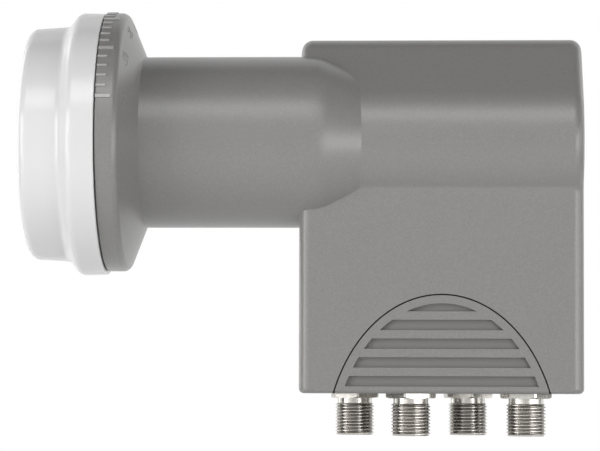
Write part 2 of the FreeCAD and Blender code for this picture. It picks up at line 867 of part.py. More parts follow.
def make_cover_screws():
    shanks = []
    for index, (x, z) in enumerate(COVER_SCREW_PLACES, start=1):
        length = S.chassis_back - S.screw_tip
        shanks.append(cylinder(f"cover_shank_{index}", S.screw_radius, length, x, S.screw_tip, z, along_y()))
    return fused("cover_screws", *shanks, *countersinks("cover_screw_head"))


def make_board():
    body = new_body("circuit_board")
    left = S.chassis_left + S.rim_width + S.board_play
    right = S.chassis_right - S.rim_width - S.board_play
    outline = rectangle(left, -S.cavity_bottom + S.board_play, right, S.cavity_top - S.board_play, 1.5)
    rear = -S.board_face - S.board_thickness
    pad(body, drawn(body, "XZ_Plane", "board", outline, rear), S.board_thickness)
    holes = new_sketch(body, "XZ_Plane", "board_holes", rear)
    for x, z in BOARD_SCREW_PLACES:
        draw_circle(holes, x, z, S.screw_radius)
    pocket(body, holes, S.board_thickness, reversed_side=True)
    return body


def make_board_screws():
    pieces = []
    rear = S.board_face + S.board_thickness
    for index, (x, z) in enumerate(BOARD_SCREW_PLACES, start=1):
        shank_start = S.board_face - S.board_screw_depth
        pieces.append(cylinder(f"board_shank_{index}", S.screw_radius, rear - shank_start, x, shank_start, z,
                               along_y()))
        pieces.append(cylinder(f"board_head_{index}", S.screw_head, S.screw_radius, x, rear, z, along_y()))
    return fused("board_screws", *pieces)


def bent_pin(label, plane, points, start_plane, start, radius):
    """A round wire swept along straight runs with rounded turns."""
    body = new_body(label)
    path = new_sketch(body, plane, label + "_path")
    draw_outline(path, points, closed=False)
    circle = new_sketch(body, start_plane, label + "_circle", start[2])
    draw_circle(circle, start[0], start[1], radius)
    pipe = body.newObject("PartDesign::AdditivePipe", label + "_pipe")
    pipe.Profile = circle
    pipe.Spine = (path, [])
    doc.recompute()
    return body


def make_probes():
    across = cylinder("horizontal_probe", S.probe_radius, S.board_face - S.probe_depth, S.probe_across,
                      S.probe_depth, 0, along_y())
    route = [(S.board_face, S.probe_height), (0, S.probe_height, 1.5), (0, S.probe_tip - 1)]
    along = bent_pin("vertical_probe", "YZ_Plane", route, "XZ_Plane", (0, S.probe_height, -S.board_face),
                     S.probe_radius)
    place(along, S.probe_along, 0, 0)
    across_pin = cylinder("polariser_pin", S.polariser_radius, S.board_face, S.polariser_place, 0, 0,
                          along_y())
    return {"horizontal_probe": across, "vertical_probe": along, "polariser_pin": across_pin}


def make_pucks():
    pieces = {}
    rear = S.board_face + S.board_thickness
    for index, x in enumerate((S.puck_left, S.puck_right), start=1):
        name = f"resonator_{index}"
        pieces[name] = cylinder(name, S.puck_radius, S.puck_height, x, rear, -S.puck_level, along_y())
        name = f"tuning_screw_{index}"
        pieces[name] = cylinder(name, S.tuner_radius, S.chassis_back - S.tuner_tip, x, S.tuner_tip,
                                -S.puck_level, along_y())
    return pieces


# Outputs


def make_port(number, x, y, hex_turn, bent):
    """One output: a turned body with its hexagon, its insulator, its contact and the seal behind it."""
    spin = Rotation(Vector(0, 0, 1), hex_turn)
    body = new_body(f"f_connector_{number}")
    barrel = [
        (0, -S.thread_end),
        (S.thread_radius - S.thread_chamfer, -S.thread_end),
        (S.thread_radius, -S.thread_end + S.thread_chamfer),
        (S.thread_radius, -S.collar_length),
        (S.collar_small_radius, -S.collar_length),
        (S.collar_small_radius, 0.2),
        (S.stub_radius, 0.2),
        (S.stub_radius, S.stub_end),
        (0, S.stub_end),
    ]
    turn(body, drawn(body, "XZ_Plane", f"barrel_{number}", barrel), axis="V_Axis")
    corners = []
    for side in range(6):
        angle = math.radians(60 * side)
        reach = S.hex_flats / math.sqrt(3)
        corners.append((reach * math.cos(angle), reach * math.sin(angle)))
    pad(body, drawn(body, "XY_Plane", f"hexagon_{number}", corners), S.hex_height)
    outer = S.hex_corner_radius
    chamfer = [
        (outer - 0.5, 0),
        (outer + 1, 0),
        (outer + 1, S.hex_height),
        (outer, S.hex_height),
        (outer, 0.29),
    ]
    turn(body, drawn(body, "XZ_Plane", f"hexagon_corners_{number}", chamfer), "Groove", "V_Axis")
    bore = new_sketch(body, "XY_Plane", f"bore_{number}", -S.thread_end)
    draw_circle(bore, 0, 0, S.port_bore)
    pocket(body, bore, S.thread_end + S.stub_end, reversed_side=True)
    place(body, x, y, -S.hex_face, spin)

    insulator = new_body(f"connector_insulator_{number}")
    lining = [
        (S.contact_radius, -S.thread_end + 0.5),
        (S.port_bore, -S.thread_end + 0.5),
        (S.port_bore, S.stub_end),
        (S.contact_radius, S.stub_end),
    ]
    turn(insulator, drawn(insulator, "XZ_Plane", f"lining_{number}", lining), axis="V_Axis")
    place(insulator, x, y, -S.hex_face)

    contact = new_body(f"connector_contact_{number}")
    socket = [
        (S.contact_hole, -S.thread_end + 1),
        (S.contact_radius, -S.thread_end + 1),
        (S.contact_radius, S.stub_end),
        (0, S.stub_end),
        (0, 0),
        (S.contact_hole, 0),
    ]
    turn(contact, drawn(contact, "XZ_Plane", f"socket_{number}", socket), axis="V_Axis")
    path = new_sketch(contact, "YZ_Plane", f"tail_path_{number}")
    tail_end = S.hex_face - S.cavity_bottom + 3
    if bent:
        draw_outline(path, [(0, S.stub_end), (0, tail_end, 1.5), (S.board_face - y, tail_end)], closed=False)
    else:
        draw_outline(path, [(0, S.stub_end), (0, tail_end)], closed=False)
    circle = new_sketch(contact, "XY_Plane", f"tail_circle_{number}", S.stub_end)
    draw_circle(circle, 0, 0, S.pin_radius)
    tail = contact.newObject("PartDesign::AdditivePipe", f"tail_{number}")
    tail.Profile = circle
    tail.Spine = (path, [])
    place(contact, x, y, -S.hex_face)

    seal = new_body(f"connector_seal_{number}")
    ring = rectangle(S.stub_radius, 0, S.stub_radius + S.port_seal_side, S.port_seal_side)
    turn(seal, drawn(seal, "XZ_Plane", f"seal_{number}", ring), axis="V_Axis")
    place(seal, x, y, -S.hex_face + S.hex_height)
    return {
        f"f_connector_{number}": body,
        f"connector_insulator_{number}": insulator,
        f"connector_contact_{number}": contact,
        f"connector_seal_{number}": seal,
    }


# Where the outputs and the screws stand: outputs as (X, Y), screws as (X, Z)

PORT_PLACES = [
    (S.port_first + S.port_pitch * index, S.port_rear if index % 2 == 0 else -S.port_front)
    for index in range(PORT_COUNT)
]
SCREW_STEP = (S.cover_screw_high + S.cover_screw_low) / (SCREW_ROWS - 1)
COVER_SCREW_PLACES = [
    (x, S.cover_screw_high - SCREW_STEP * row)
    for x in (S.chassis_left + S.rim_width / 2, S.chassis_right - S.rim_width / 2)
    for row in range(SCREW_ROWS)
]
COVER_SCREW_PLACES.append(((S.chassis_left + S.chassis_right) / 2, -S.cover_screw_low))
BOARD_SCREW_PLACES = [
    (S.board_screw_first + S.board_screw_pitch * index, -S.board_screw_level)
    for index in range(BOARD_SCREW_COUNT)
]


def make_parts():
    """All sub-parts by the name of their file."""
    parts = make_shells()
    parts["weather_guard"] = make_guard(parts.pop("outside"))
    parts["feed_cap"] = make_cap()
    parts["cap_seal"] = make_seal()
    parts["chassis"] = make_chassis()
    parts["chassis_cover"] = make_cover()
    parts["cover_gasket"] = make_gasket()
    parts["cover_screws"] = make_cover_screws()
    parts["circuit_board"] = make_board()
    parts["board_screws"] = make_board_screws()
    parts.update(make_probes())
    parts.update(make_pucks())
    for index, (x, y) in enumerate(PORT_PLACES):
        parts.update(make_port(index + 1, x, y, HEX_TURNS[index], index % 2 == 1))
    return parts


def check(parts):
    """Stops if any feature failed or a sub-part has no sound solid."""
    doc.recompute()
    for thing in doc.Objects:
        state = " ".join(thing.State)
        assert "Invalid" not in state and "Error" not in state, f"{thing.Name}: {state}"
    for name, thing in parts.items():
        assert not thing.Shape.isNull() and thing.Shape.isValid(), f"{name} has no valid shape"


def write(parts):
    os.makedirs("parts", exist_ok=True)
    for name, thing in parts.items():
        thing.Label = name
        thing.Shape.exportStep(f"parts/{name}.step")


PARTS = make_parts()
check(PARTS)
write(PARTS)
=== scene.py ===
import json
import math

import bmesh
import bpy
from mathutils import Matrix, Quaternion, Vector


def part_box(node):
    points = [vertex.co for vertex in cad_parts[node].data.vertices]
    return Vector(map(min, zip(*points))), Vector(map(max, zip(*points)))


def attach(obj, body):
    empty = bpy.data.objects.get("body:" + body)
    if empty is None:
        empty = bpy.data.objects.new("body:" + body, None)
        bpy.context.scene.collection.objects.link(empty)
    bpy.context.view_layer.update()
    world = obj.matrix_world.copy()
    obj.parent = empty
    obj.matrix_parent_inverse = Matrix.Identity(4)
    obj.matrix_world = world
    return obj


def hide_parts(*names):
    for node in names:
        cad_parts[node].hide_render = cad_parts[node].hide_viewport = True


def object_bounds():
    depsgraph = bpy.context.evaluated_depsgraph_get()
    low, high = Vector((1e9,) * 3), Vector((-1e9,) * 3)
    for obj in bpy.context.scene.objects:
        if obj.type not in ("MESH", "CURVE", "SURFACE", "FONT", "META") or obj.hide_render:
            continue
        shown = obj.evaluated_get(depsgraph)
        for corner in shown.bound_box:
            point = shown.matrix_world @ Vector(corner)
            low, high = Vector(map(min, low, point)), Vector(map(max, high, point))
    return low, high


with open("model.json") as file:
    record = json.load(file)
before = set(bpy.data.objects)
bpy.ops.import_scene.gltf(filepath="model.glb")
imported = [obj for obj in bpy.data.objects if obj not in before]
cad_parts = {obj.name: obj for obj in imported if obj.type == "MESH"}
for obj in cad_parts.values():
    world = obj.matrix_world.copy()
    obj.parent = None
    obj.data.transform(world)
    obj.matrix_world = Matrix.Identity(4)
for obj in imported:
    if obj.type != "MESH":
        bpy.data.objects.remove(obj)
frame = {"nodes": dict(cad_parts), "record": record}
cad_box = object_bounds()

# A satellite receiver head on its own: grey housing, white cap over the horn, four threaded outputs.
# The neck lies along X with the cap at -X, the front faces -Y and the outputs point down.
# Pieces are worked out in millimetres, and finish_piece turns them into the frame's metres.

MM = 0.001


def span(node):
    """Lowest and highest corner of a node, in millimetres."""
    return [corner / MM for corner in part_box(node)]


front_low, front_high = span("front_shell")
guard_low, guard_high = span("weather_guard")
cap_low, cap_high = span("feed_cap")
port_low, port_high = span("f_connector_1")

# Neck and scale ring
NECK_RADIUS = 20.7
NECK_END = -18.95
NECK_WALL = 1.8
RING_FRONT = front_low.x
RING_RADIUS = -front_low.y
RING_SLOPE = 2.475
RING_ROUND = 1.7
RING_CORNER = NECK_END - (RING_RADIUS - NECK_RADIUS) / RING_SLOPE
LIP_RADIUS = 26.3
LIP_DEPTH = 1.8
RUN_START = 23.5
RUN_END = 33.35
RUN_ROUND = 12.0

# Scale on the ring: angles in degrees, and each kind of mark by its length and width
MARK_STEP = 5
LONG_MARK_STEP = 25
SCALE_LIMIT = 75
SCALE_SHIFT = 0.8
MARK_TOP = front_high.z
MARK_ROOT = 1.0
LONG_MARK = (3.6, 0.9)
SHORT_MARK = (2.35, 0.6)
MARK_SOFT = 0.12
MARK_SEGMENTS = 3

# Numbers on the ring's cone: their type is narrowed, and a digit takes a share of the type's size
NUMBER_HEIGHT = 2.8
NUMBER_NARROWING = 0.8
NUMBER_PLACE = -21.75
NUMBER_RELIEF = 0.07
DIGIT_SHARE = 0.7

# Housing
BOX_LEFT = 18.7
BOX_RIGHT = front_high.x
BOX_BOTTOM = front_low.z
FRONT_FACE = guard_low.y
REAR_FACE = guard_high.y
MID_PLANE = front_high.y
BUMP_RADIUS = 16.8
BUMP_ANGLE = math.radians(40.0)
SLOPE_ANGLE = math.radians(42.1)
BLEND_RADIUS = 2.2
RIDGE_RADIUS = 7.7
REAR_RADIUS = 8.0
END_RADIUS = 2.7
END_SEGMENTS = 12
FOOT_RADIUS = 1.2
FOOT_SEGMENTS = 6
WALL = 1.5

# Weather guard and its arch grips
ARCH_MIDDLE = 52.67
ARCH_CENTRE = -74.3
ARCH_HALF_WIDTH = 27.6
ARCH_HALF_HEIGHT = 37.2
ARCH_GAP = 0.34
ARCH_RIM = 2.1
SLOT_COUNT = 5
SLOT_TOP = -38.65
SLOT_PITCH = 4.45
SLOT_HEIGHT = 2.46
SLOT_DEPTH = 1.0
GRIP_SOFT = 0.12
GUARD_PLAY = 0.15
GUARD_WALL = 1.25
GUARD_TRAVEL = 20.0
PEG_RADIUS = 1.4
PEG_PLAY = 0.2
PEG_HEIGHT = -57.0
PEG_SIDE = -1.5

# Cap, whose outside hangs a little below the axis
CAP_DROP = 0.45
CAP_FRONT_RADIUS = 27.9
CAP_NECK_RADIUS = 28.5
CAP_RING_RADIUS = cap_high.z + CAP_DROP
CAP_TAPER = 0.1
CAP_ROOM = 29.7
CAP_WALL = 1.7
CAP_ROUND = 2.2
CAP_BORE = 26.0
RAMP_START = -36.9
RAMP_END = -34.5
RAMP_ROUND = 2.0
CAP_BORE_END = RAMP_START + 0.8
BEAD_RADIUS = 29.0
BEAD_FRONT = -29.9
STEP_FRONT = -33.6

# Outputs, measured down from the hexagon's face, with each one's turn in degrees
HEX_TURNS = (8.4, -12.4, 9.5, 19.6)
CORNER_TO_FLAT = 30
HEX_FLATS = 11.0
HEX_HEIGHT = 3.2
HEX_CORNER = 6.2
HEX_CHAMFER_WIDTH = 0.5
HEX_CHAMFER_HEIGHT = 0.29
COLLAR_RADIUS = 4.17
COLLAR_LENGTH = 1.23
COLLAR_SUNK = 0.2
CORE_LENGTH = COLLAR_LENGTH + 0.5
CORE_TAPER = 0.1
STUB_RADIUS = 3.4
PORT_BORE = 2.8
BORE_SKIN = 0.1

# Thread of the outputs: 32 turns to an inch, and a ridge's points as (share of the pitch, share of the depth)
INCH = 25.4
THREAD_PITCH = INCH / 32
THREAD_RIDGE = ((0.0, 1.0), (0.2, 1.0), (0.53, 0.0), (0.67, 0.0))
SPARE_RIDGES = 3
THREAD_RADIUS = 4.7
THREAD_DEPTH = 0.42
THREAD_END = 8.95
THREAD_CHAMFER = 0.4
THREAD_RUNOUT = 0.3
THREAD_ROOM = 0.01
STUB_TOP = port_high.z - port_low.z - THREAD_END

# Fineness of round forms, and the turns from which an edge counts as square or is drawn sharp
TURN_STEPS = 144
THREAD_STEPS = 72
ROD_STEPS = 48
LARGE_ROUND_STEP = math.radians(3.0)
SMALL_ROUND_STEP = math.radians(15.0)
SQUARE_TURN = 0.9
SHARP_TURN = math.radians(16.0)
SOFT_EDGE = 0.15
SOFT_SEGMENTS = 4

# How far a cutting form stands out of what it cuts, and how near two points count as one
BEYOND = 10.0
JUST_BEYOND = 1.0
A_HAIR = 1e-3
MERGE_DISTANCE = 1e-4

# Finishes of the grey plastic, the threads and the board's tracks. The band that holds the gap's walls is
# given by how far the sum of squares in the arch's ellipse may be off one
PLASTIC_ROUGHNESS = 0.3
SPECK_CONTRAST = 1.8
GAP_BAND = 0.02
# Painted shade: the dark tone of the gap round each grip.
GAP_SHADE_TONE = (40, 40, 39)
MARK_SKIN = 0.14
# Painted highlight: the paler tone of the scale's marks, and the share of it that the numbers get.
MARK_HIGHLIGHT_TONE = (166, 165, 164)
MARK_ROUGHNESS = 0.28
NUMBER_HIGHLIGHT_SHARE = 0.3
NUMBER_MARGIN = 0.5
# Painted shade: the darker tone of the slots' floors.
SLOT_SHADE_TONE = (112, 111, 110)
SLOT_ROUGHNESS = 0.6
# How sharply the painted shade in the thread's grooves deepens with depth.
GROOVE_SHADE_CONTRAST = 3.0
TRACK_LEVEL = 0.56

# How the photograph looks at the object: a long lens, square to the neck, from a little below.
# The camera stands square before one point, which the picture shows at one pixel
PHOTO_SIZE = (600, 451)
PIXELS_PER_MM = 4.13
CAMERA_DISTANCE = 690.0
CAMERA_BELOW = math.radians(4.5)
SQUARE_POINT = Vector((52.25, 0.0, -1.37))
SQUARE_PIXEL = (440, 148)
SENSOR_WIDTH = 36.0
CAMERA_ROLL = 0.003

# Studio, with lengths in metres. The floor lies well under the object, which hangs in its holder
CAMERA_RANGE = (0.05, 30.0)
FLOOR_LEVEL = cad_box[0].z - 0.4
FLOOR_SIZE = 12.0
FLOOR_PAINT = (0.85, 0.85, 0.85, 1.0)
FLOOR_GLOW = 0.55
FLOOR_GLOW_RISE = 0.2
WHITE = (1.0, 1.0, 1.0, 1.0)
ROOM_LIGHT = 0.03
SCREEN_HALF = 2.2
SCREEN_REACH = (-2.4, 1.2)
SCREEN_TOP = 2.2
SCREEN_CLOTH = (0.02, 0.02, 0.02, 1.0)

# Each softbox by its turn from the front towards the right and its rise above level, in degrees, then by
# its width and height and its power in watts
LAMP_TARGET = Vector((0.02, 0.0, -0.02))
LAMP_DISTANCE = 1.5
LAMPS = (
    ("bank", 0, 43, (1.2, 0.5), 7.3),
    ("front_lamp", -40, 14, (0.9, 0.36), 3.0),
    ("low_lamp", -40, -14, (0.9, 0.4), 3.0),
    ("left_lamp", -60, 4, (0.6, 0.8), 9.0),
    ("right_front_lamp", 44, -2, (0.8, 0.5), 7.4),
    ("right_lamp", 75, 4, (0.9, 0.5), 4.6),
    ("left_back_lamp", -118, 14, (1.2, 1.0), 7.0),
    ("right_back_lamp", 118, 14, (1.2, 1.0), 3.0),
)


# Forms: each is a bmesh in millimetres


def turned(profile, axis="X", steps=TURN_STEPS):
    """A form turned about the neck's axis, or about an upright one, from (along, radius) points."""
    bm = bmesh.new()
    if axis == "X":
        points = [bm.verts.new((along, 0.0, radius)) for along, radius in profile]
        direction = (1.0, 0.0, 0.0)
    else:
        points = [bm.verts.new((radius, 0.0, along)) for along, radius in profile]
        direction = (0.0, 0.0, 1.0)
    lines = [bm.edges.new(pair) for pair in zip(points, points[1:])]
    bmesh.ops.spin(bm, geom=points + lines, cent=(0.0, 0.0, 0.0), axis=direction, angle=2 * math.pi,
                   steps=steps, use_merge=True)
    bmesh.ops.remove_doubles(bm, verts=bm.verts, dist=MERGE_DISTANCE)
    bmesh.ops.recalc_face_normals(bm, faces=bm.faces)
    return bm


def draw_out(bm, direction):
    """Draws a form that is one flat face out along a direction."""
    moved = bmesh.ops.extrude_face_region(bm, geom=list(bm.faces))["geom"]
    far = [item for item in moved if isinstance(item, bmesh.types.BMVert)]
    bmesh.ops.translate(bm, verts=far, vec=direction)
    bmesh.ops.recalc_face_normals(bm, faces=bm.faces)


def prism(outline, direction):
    """A flat outline drawn out along a direction."""
    bm = bmesh.new()
    bm.faces.new([bm.verts.new(point) for point in outline])
    draw_out(bm, direction)
    return bm


def block(low, high):
    """A square block between its lowest and its highest corner."""
    bm = bmesh.new()
    low, high = Vector(low), Vector(high)
    bmesh.ops.create_cube(bm, size=1.0)
    bmesh.ops.scale(bm, verts=bm.verts, vec=high - low)
    bmesh.ops.translate(bm, verts=bm.verts, vec=(low + high) / 2)
    return bm


def rod(radius, start, length, axis="X", steps=ROD_STEPS):
    """A plain round bar from a starting point along X or Z."""
    bm = turned([(0.0, 0.0), (0.0, radius), (length, radius), (length, 0.0)], axis, steps)
    bmesh.ops.translate(bm, verts=bm.verts, vec=start)
    return bm


def arch(shrink, y_low, y_high):
    """A block with the outline of a grip, which is the top of a tall ellipse."""
    bm = bmesh.new()
    ring = bmesh.ops.create_circle(bm, cap_ends=True, segments=2 * TURN_STEPS, radius=1.0)["verts"]
    bmesh.ops.scale(bm, verts=ring, vec=(ARCH_HALF_WIDTH - shrink, ARCH_HALF_HEIGHT - shrink, 1.0))
    upright = Matrix.Rotation(math.pi / 2, 4, "X")
    place = Matrix.Translation((ARCH_MIDDLE, y_low, ARCH_CENTRE))
    bmesh.ops.transform(bm, verts=ring, matrix=place @ upright)
    draw_out(bm, (0.0, y_high - y_low, 0.0))
    return bm


def merged(*forms):
    """Several forms that don't touch, as one."""
    bm = bmesh.new()
    for form in forms:
        mesh = bpy.data.meshes.new("part")
        form.to_mesh(mesh)
        form.free()
        bm.from_mesh(mesh)
        bpy.data.meshes.remove(mesh)
    return bm


def combined(base, tool, operation):
    """Joins, cuts or intersects two forms and uses both up."""
    holders = []
    for form in (base, tool):
        mesh = bpy.data.meshes.new("working")
        form.to_mesh(mesh)
        form.free()
        holder = bpy.data.objects.new("working", mesh)
        bpy.context.scene.collection.objects.link(holder)
        holders.append(holder)
    step = holders[0].modifiers.new("combine", "BOOLEAN")
    step.operation = operation
    step.solver = "EXACT"
    step.object = holders[1]
    depsgraph = bpy.context.evaluated_depsgraph_get()
    result = bmesh.new()
    result.from_object(holders[0], depsgraph)
    bmesh.ops.remove_doubles(result, verts=result.verts, dist=MERGE_DISTANCE)
    for holder in holders:
        mesh = holder.data
        bpy.data.objects.remove(holder)
        bpy.data.meshes.remove(mesh)
    return result


def joined(base, tool):
    """Both forms as one."""
    return combined(base, tool, "UNION")


def less(base, tool):
    """The first form with the second cut out of it."""
    return combined(base, tool, "DIFFERENCE")


def shared(base, tool):
    """What both forms have in common."""
    return combined(base, tool, "INTERSECT")


def edges_at(bm, test):
    """Edges whose two ends both pass a test."""
    return [edge for edge in bm.edges if all(test(vert.co) for vert in edge.verts)]


def near(value, goal):
    """Whether two lengths are the same to within a hair."""
    return abs(value - goal) < A_HAIR


def bevelled(bm, edges, width, segments, clamp=False):
    """Rounds edges over a width on either side."""
    bmesh.ops.bevel(bm, geom=edges, offset=width, offset_type="OFFSET", segments=segments, profile=0.5,
                    affect="EDGES", material=-1, clamp_overlap=clamp)


def rounded(bm, edges, radius, step=LARGE_ROUND_STEP):
    """Rounds edges that all turn by the same angle to a radius."""
    turn = edges[0].calc_face_angle()
    bevelled(bm, edges, radius * math.tan(turn / 2), max(2, math.ceil(turn / step)))


def round_ring(bm, along, radius, rounding):
    """Rounds the edge that a turned form has at one place of its profile."""
    ring = edges_at(bm, lambda p: near(p.x, along) and near(math.hypot(p.y, p.z), radius))
    rounded(bm, ring, rounding)


def softened(bm, test, width=SOFT_EDGE):
    """Takes the sharpness off the square edges that pass a test."""
    edges = [edge for edge in edges_at(bm, test) if edge.is_manifold and edge.calc_face_angle() > SQUARE_TURN]
    bevelled(bm, edges, width, SOFT_SEGMENTS, clamp=True)


def finish_piece(name, bm, finish, body, nodes):
    """Turns a form into a piece in metres that stands for nodes of the frame."""
    bmesh.ops.scale(bm, verts=bm.verts, vec=(MM, MM, MM))
    mesh = bpy.data.meshes.new(name)
    bm.to_mesh(mesh)
    bm.free()
    mesh.shade_smooth()
    mesh.set_sharp_from_angle(angle=SHARP_TURN)
    mesh.materials.append(finish)
    piece = bpy.data.objects.new(name, mesh)
    bpy.context.scene.collection.objects.link(piece)
    even = piece.modifiers.new("even_shading", "WEIGHTED_NORMAL")
    even.keep_sharp = True
    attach(piece, body)
    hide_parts(*nodes)
    return piece


# Housing


def housing_block(inset, bottom):
    """The housing as one block: a flat front, a round bump along the neck's axis and a sloped roof.

    Its corners are (y, z, radius of the rounding), from the foot of the front over the roof to the rear.
    """
    front = -FRONT_FACE - inset
    bump = BUMP_RADIUS - inset
    reach = bump / math.cos((SLOPE_ANGLE + BUMP_ANGLE) / 2)
    lean = (SLOPE_ANGLE - BUMP_ANGLE) / 2
    blend_level = -(bump - front * math.cos(BUMP_ANGLE)) / math.sin(BUMP_ANGLE)
    ridge_level = (bump + MID_PLANE * math.cos(SLOPE_ANGLE)) / math.sin(SLOPE_ANGLE)
    rear = REAR_FACE - inset
    rear_level = (bump - front * math.cos(SLOPE_ANGLE)) / math.sin(SLOPE_ANGLE)
    corners = [
        (-front, bottom, 0.0),
        (-front, blend_level, BLEND_RADIUS + inset),
        (-reach * math.cos(lean), reach * math.sin(lean), bump),
        (MID_PLANE, ridge_level, RIDGE_RADIUS - inset),
        (rear, rear_level, REAR_RADIUS - inset),
        (rear, bottom, 0.0),
    ]
    left = BOX_LEFT + inset
    right = BOX_RIGHT - inset
    bm = prism([(left, y, z) for y, z, radius in corners], (right - left, 0.0, 0.0))
    for y, z, radius in corners:
        if radius:
            long_edge = edges_at(bm, lambda p: near(p.y, y) and near(p.z, z))
            rounded(bm, long_edge, radius)
    ends = [edge for edge in bm.edges if near(edge.verts[0].co.x, edge.verts[1].co.x)
            and max(vert.co.z for vert in edge.verts) > bottom + END_RADIUS]
    bevelled(bm, ends, END_RADIUS - inset, END_SEGMENTS)
    return bm


def housing_outside():
    """The housing's outer form, with its foot rounded all the way round."""
    bm = housing_block(0.0, BOX_BOTTOM)
    foot = edges_at(bm, lambda p: near(p.z, BOX_BOTTOM))
    bevelled(bm, foot, FOOT_RADIUS, FOOT_SEGMENTS)
    return bm


def neck_form():
    """Scale ring, neck and the cone in which the neck runs down onto the bump."""
    run = RUN_END - RUN_START
    sunk = (NECK_RADIUS - BUMP_RADIUS) / 2
    far = RUN_END + run * sunk / (NECK_RADIUS - BUMP_RADIUS)
    bm = turned([
        (RING_FRONT, 0.0),
        (RING_FRONT, RING_RADIUS),
        (RING_CORNER, RING_RADIUS),
        (NECK_END, NECK_RADIUS),
        (RUN_START, NECK_RADIUS),
        (far, BUMP_RADIUS - sunk),
        (far, 0.0),
    ])
    round_ring(bm, RING_CORNER, RING_RADIUS, RING_ROUND)
    round_ring(bm, RUN_START, NECK_RADIUS, RUN_ROUND)
    round_ring(bm, RING_FRONT, RING_RADIUS, 2 * SOFT_EDGE)
    return bm


def neck_hollow():
    """The space in the ring and the neck, which a lip at the ring's front closes down to the horn."""
    bore = NECK_RADIUS - NECK_WALL
    rim_bore = RING_RADIUS - NECK_WALL
    lip_back = RING_FRONT + LIP_DEPTH
    cone_start = RING_CORNER - NECK_WALL / 2
    return turned([
        (RING_FRONT - BEYOND, 0.0),
        (RING_FRONT - BEYOND, LIP_RADIUS),
        (lip_back, LIP_RADIUS),
        (lip_back, rim_bore),
        (cone_start, rim_bore),
        (cone_start + (rim_bore - bore) / RING_SLOPE, bore),
        (RUN_START, bore),
        (RUN_END, BUMP_RADIUS - NECK_WALL),
        (RUN_END, 0.0),
    ])


def scale_marks():
    """Raised lines across the ring's rim, every five degrees, with a longer one at each twenty-five."""
    marks = []
    for angle in range(-SCALE_LIMIT, SCALE_LIMIT + 1, MARK_STEP):
        length, width = LONG_MARK if angle % LONG_MARK_STEP == 0 else SHORT_MARK
        low = (RING_FRONT, -width / 2, RING_RADIUS - MARK_ROOT)
        mark = block(low, (RING_FRONT + length, width / 2, MARK_TOP))
        top = edges_at(mark, lambda p: near(p.z, MARK_TOP))
        bevelled(mark, top, MARK_SOFT, MARK_SEGMENTS)
        spin = Matrix.Rotation(math.radians(angle - SCALE_SHIFT), 3, "X")
        bmesh.ops.rotate(mark, verts=mark.verts, matrix=spin)
        marks.append(mark)
    return merged(*marks)


def scale_numbers(angles):
    """Low raised numbers on the ring's cone, beside the long marks."""
    bm = bmesh.new()
    for angle in angles:
        curve = bpy.data.curves.new("number", "FONT")
        curve.body = str(angle)
        curve.align_x = "CENTER"
        curve.align_y = "CENTER"
        curve.size = NUMBER_HEIGHT / DIGIT_SHARE
        curve.extrude = NUMBER_RELIEF
        text = bpy.data.objects.new("number", curve)
        bpy.context.scene.collection.objects.link(text)
        depsgraph = bpy.context.evaluated_depsgraph_get()
        mesh = bpy.data.meshes.new_from_object(text.evaluated_get(depsgraph))
        turn = math.radians(angle + SCALE_SHIFT)
        outward = Vector((0.0, math.sin(turn), math.cos(turn)))
        along = Vector((0.0, math.cos(turn), -math.sin(turn)))
        upward = (outward * RING_SLOPE - Vector((1.0, 0.0, 0.0))).normalized()
        radius = NECK_RADIUS + (NECK_END - NUMBER_PLACE) * RING_SLOPE
        place = Matrix((along * NUMBER_NARROWING, upward, along.cross(upward))).transposed().to_4x4()
        place.translation = Vector((NUMBER_PLACE, 0.0, 0.0)) + outward * radius
        mesh.transform(place)
        bm.from_mesh(mesh)
        bpy.data.objects.remove(text)
        bpy.data.curves.remove(curve)
        bpy.data.meshes.remove(mesh)
    return bm


def front_zone():
    """The space of the front half: before the neck's axis, and before the middle of the box."""
    near_side = -RING_RADIUS - BEYOND
    step = BOX_LEFT + SOFT_EDGE
    outline = [
        (RING_FRONT - BEYOND, near_side),
        (BOX_RIGHT + BEYOND, near_side),
        (BOX_RIGHT + BEYOND, MID_PLANE),
        (step, MID_PLANE),
        (step, 0.0),
        (RING_FRONT - BEYOND, 0.0),
    ]
    low = BOX_BOTTOM - BEYOND
    return prism([(x, y, low) for x, y in outline], (0.0, 0.0, RING_RADIUS + BEYOND - low))


def make_shells(finish):
    """The whole skin with its openings, parted in two halves. Two pegs in the front half guide the guard."""
    skin = joined(joined(housing_outside(), neck_form()), scale_marks())
    skin = less(skin, housing_block(WALL, BOX_BOTTOM - BEYOND))
    skin = less(skin, neck_hollow())
    opening = -ARCH_GAP / 2
    skin = less(skin, arch(opening, FRONT_FACE - BEYOND, FRONT_FACE + 2 * WALL))
    skin = less(skin, arch(opening, REAR_FACE - 2 * WALL, REAR_FACE + BEYOND))
    softened(skin, lambda p: near(p.y, FRONT_FACE) or near(p.y, REAR_FACE))
    front = shared(skin.copy(), front_zone())
    rear = less(skin, front_zone())
    reach = GUARD_PLAY + GUARD_WALL - PEG_PLAY + WALL / 2
    for start in (BOX_LEFT + WALL / 2, BOX_RIGHT - WALL / 2 - reach):
        front = joined(front, rod(PEG_RADIUS, (start, PEG_SIDE, PEG_HEIGHT), reach))
    front = merged(front, scale_numbers(range(-SCALE_LIMIT, 0, LONG_MARK_STEP)))
    rear = merged(rear, scale_numbers(range(0, SCALE_LIMIT + 1, LONG_MARK_STEP)))
    finish_piece("front_half", front, finish, "housing", ["front_shell"])
    finish_piece("rear_half", rear, finish, "housing", ["rear_shell"])


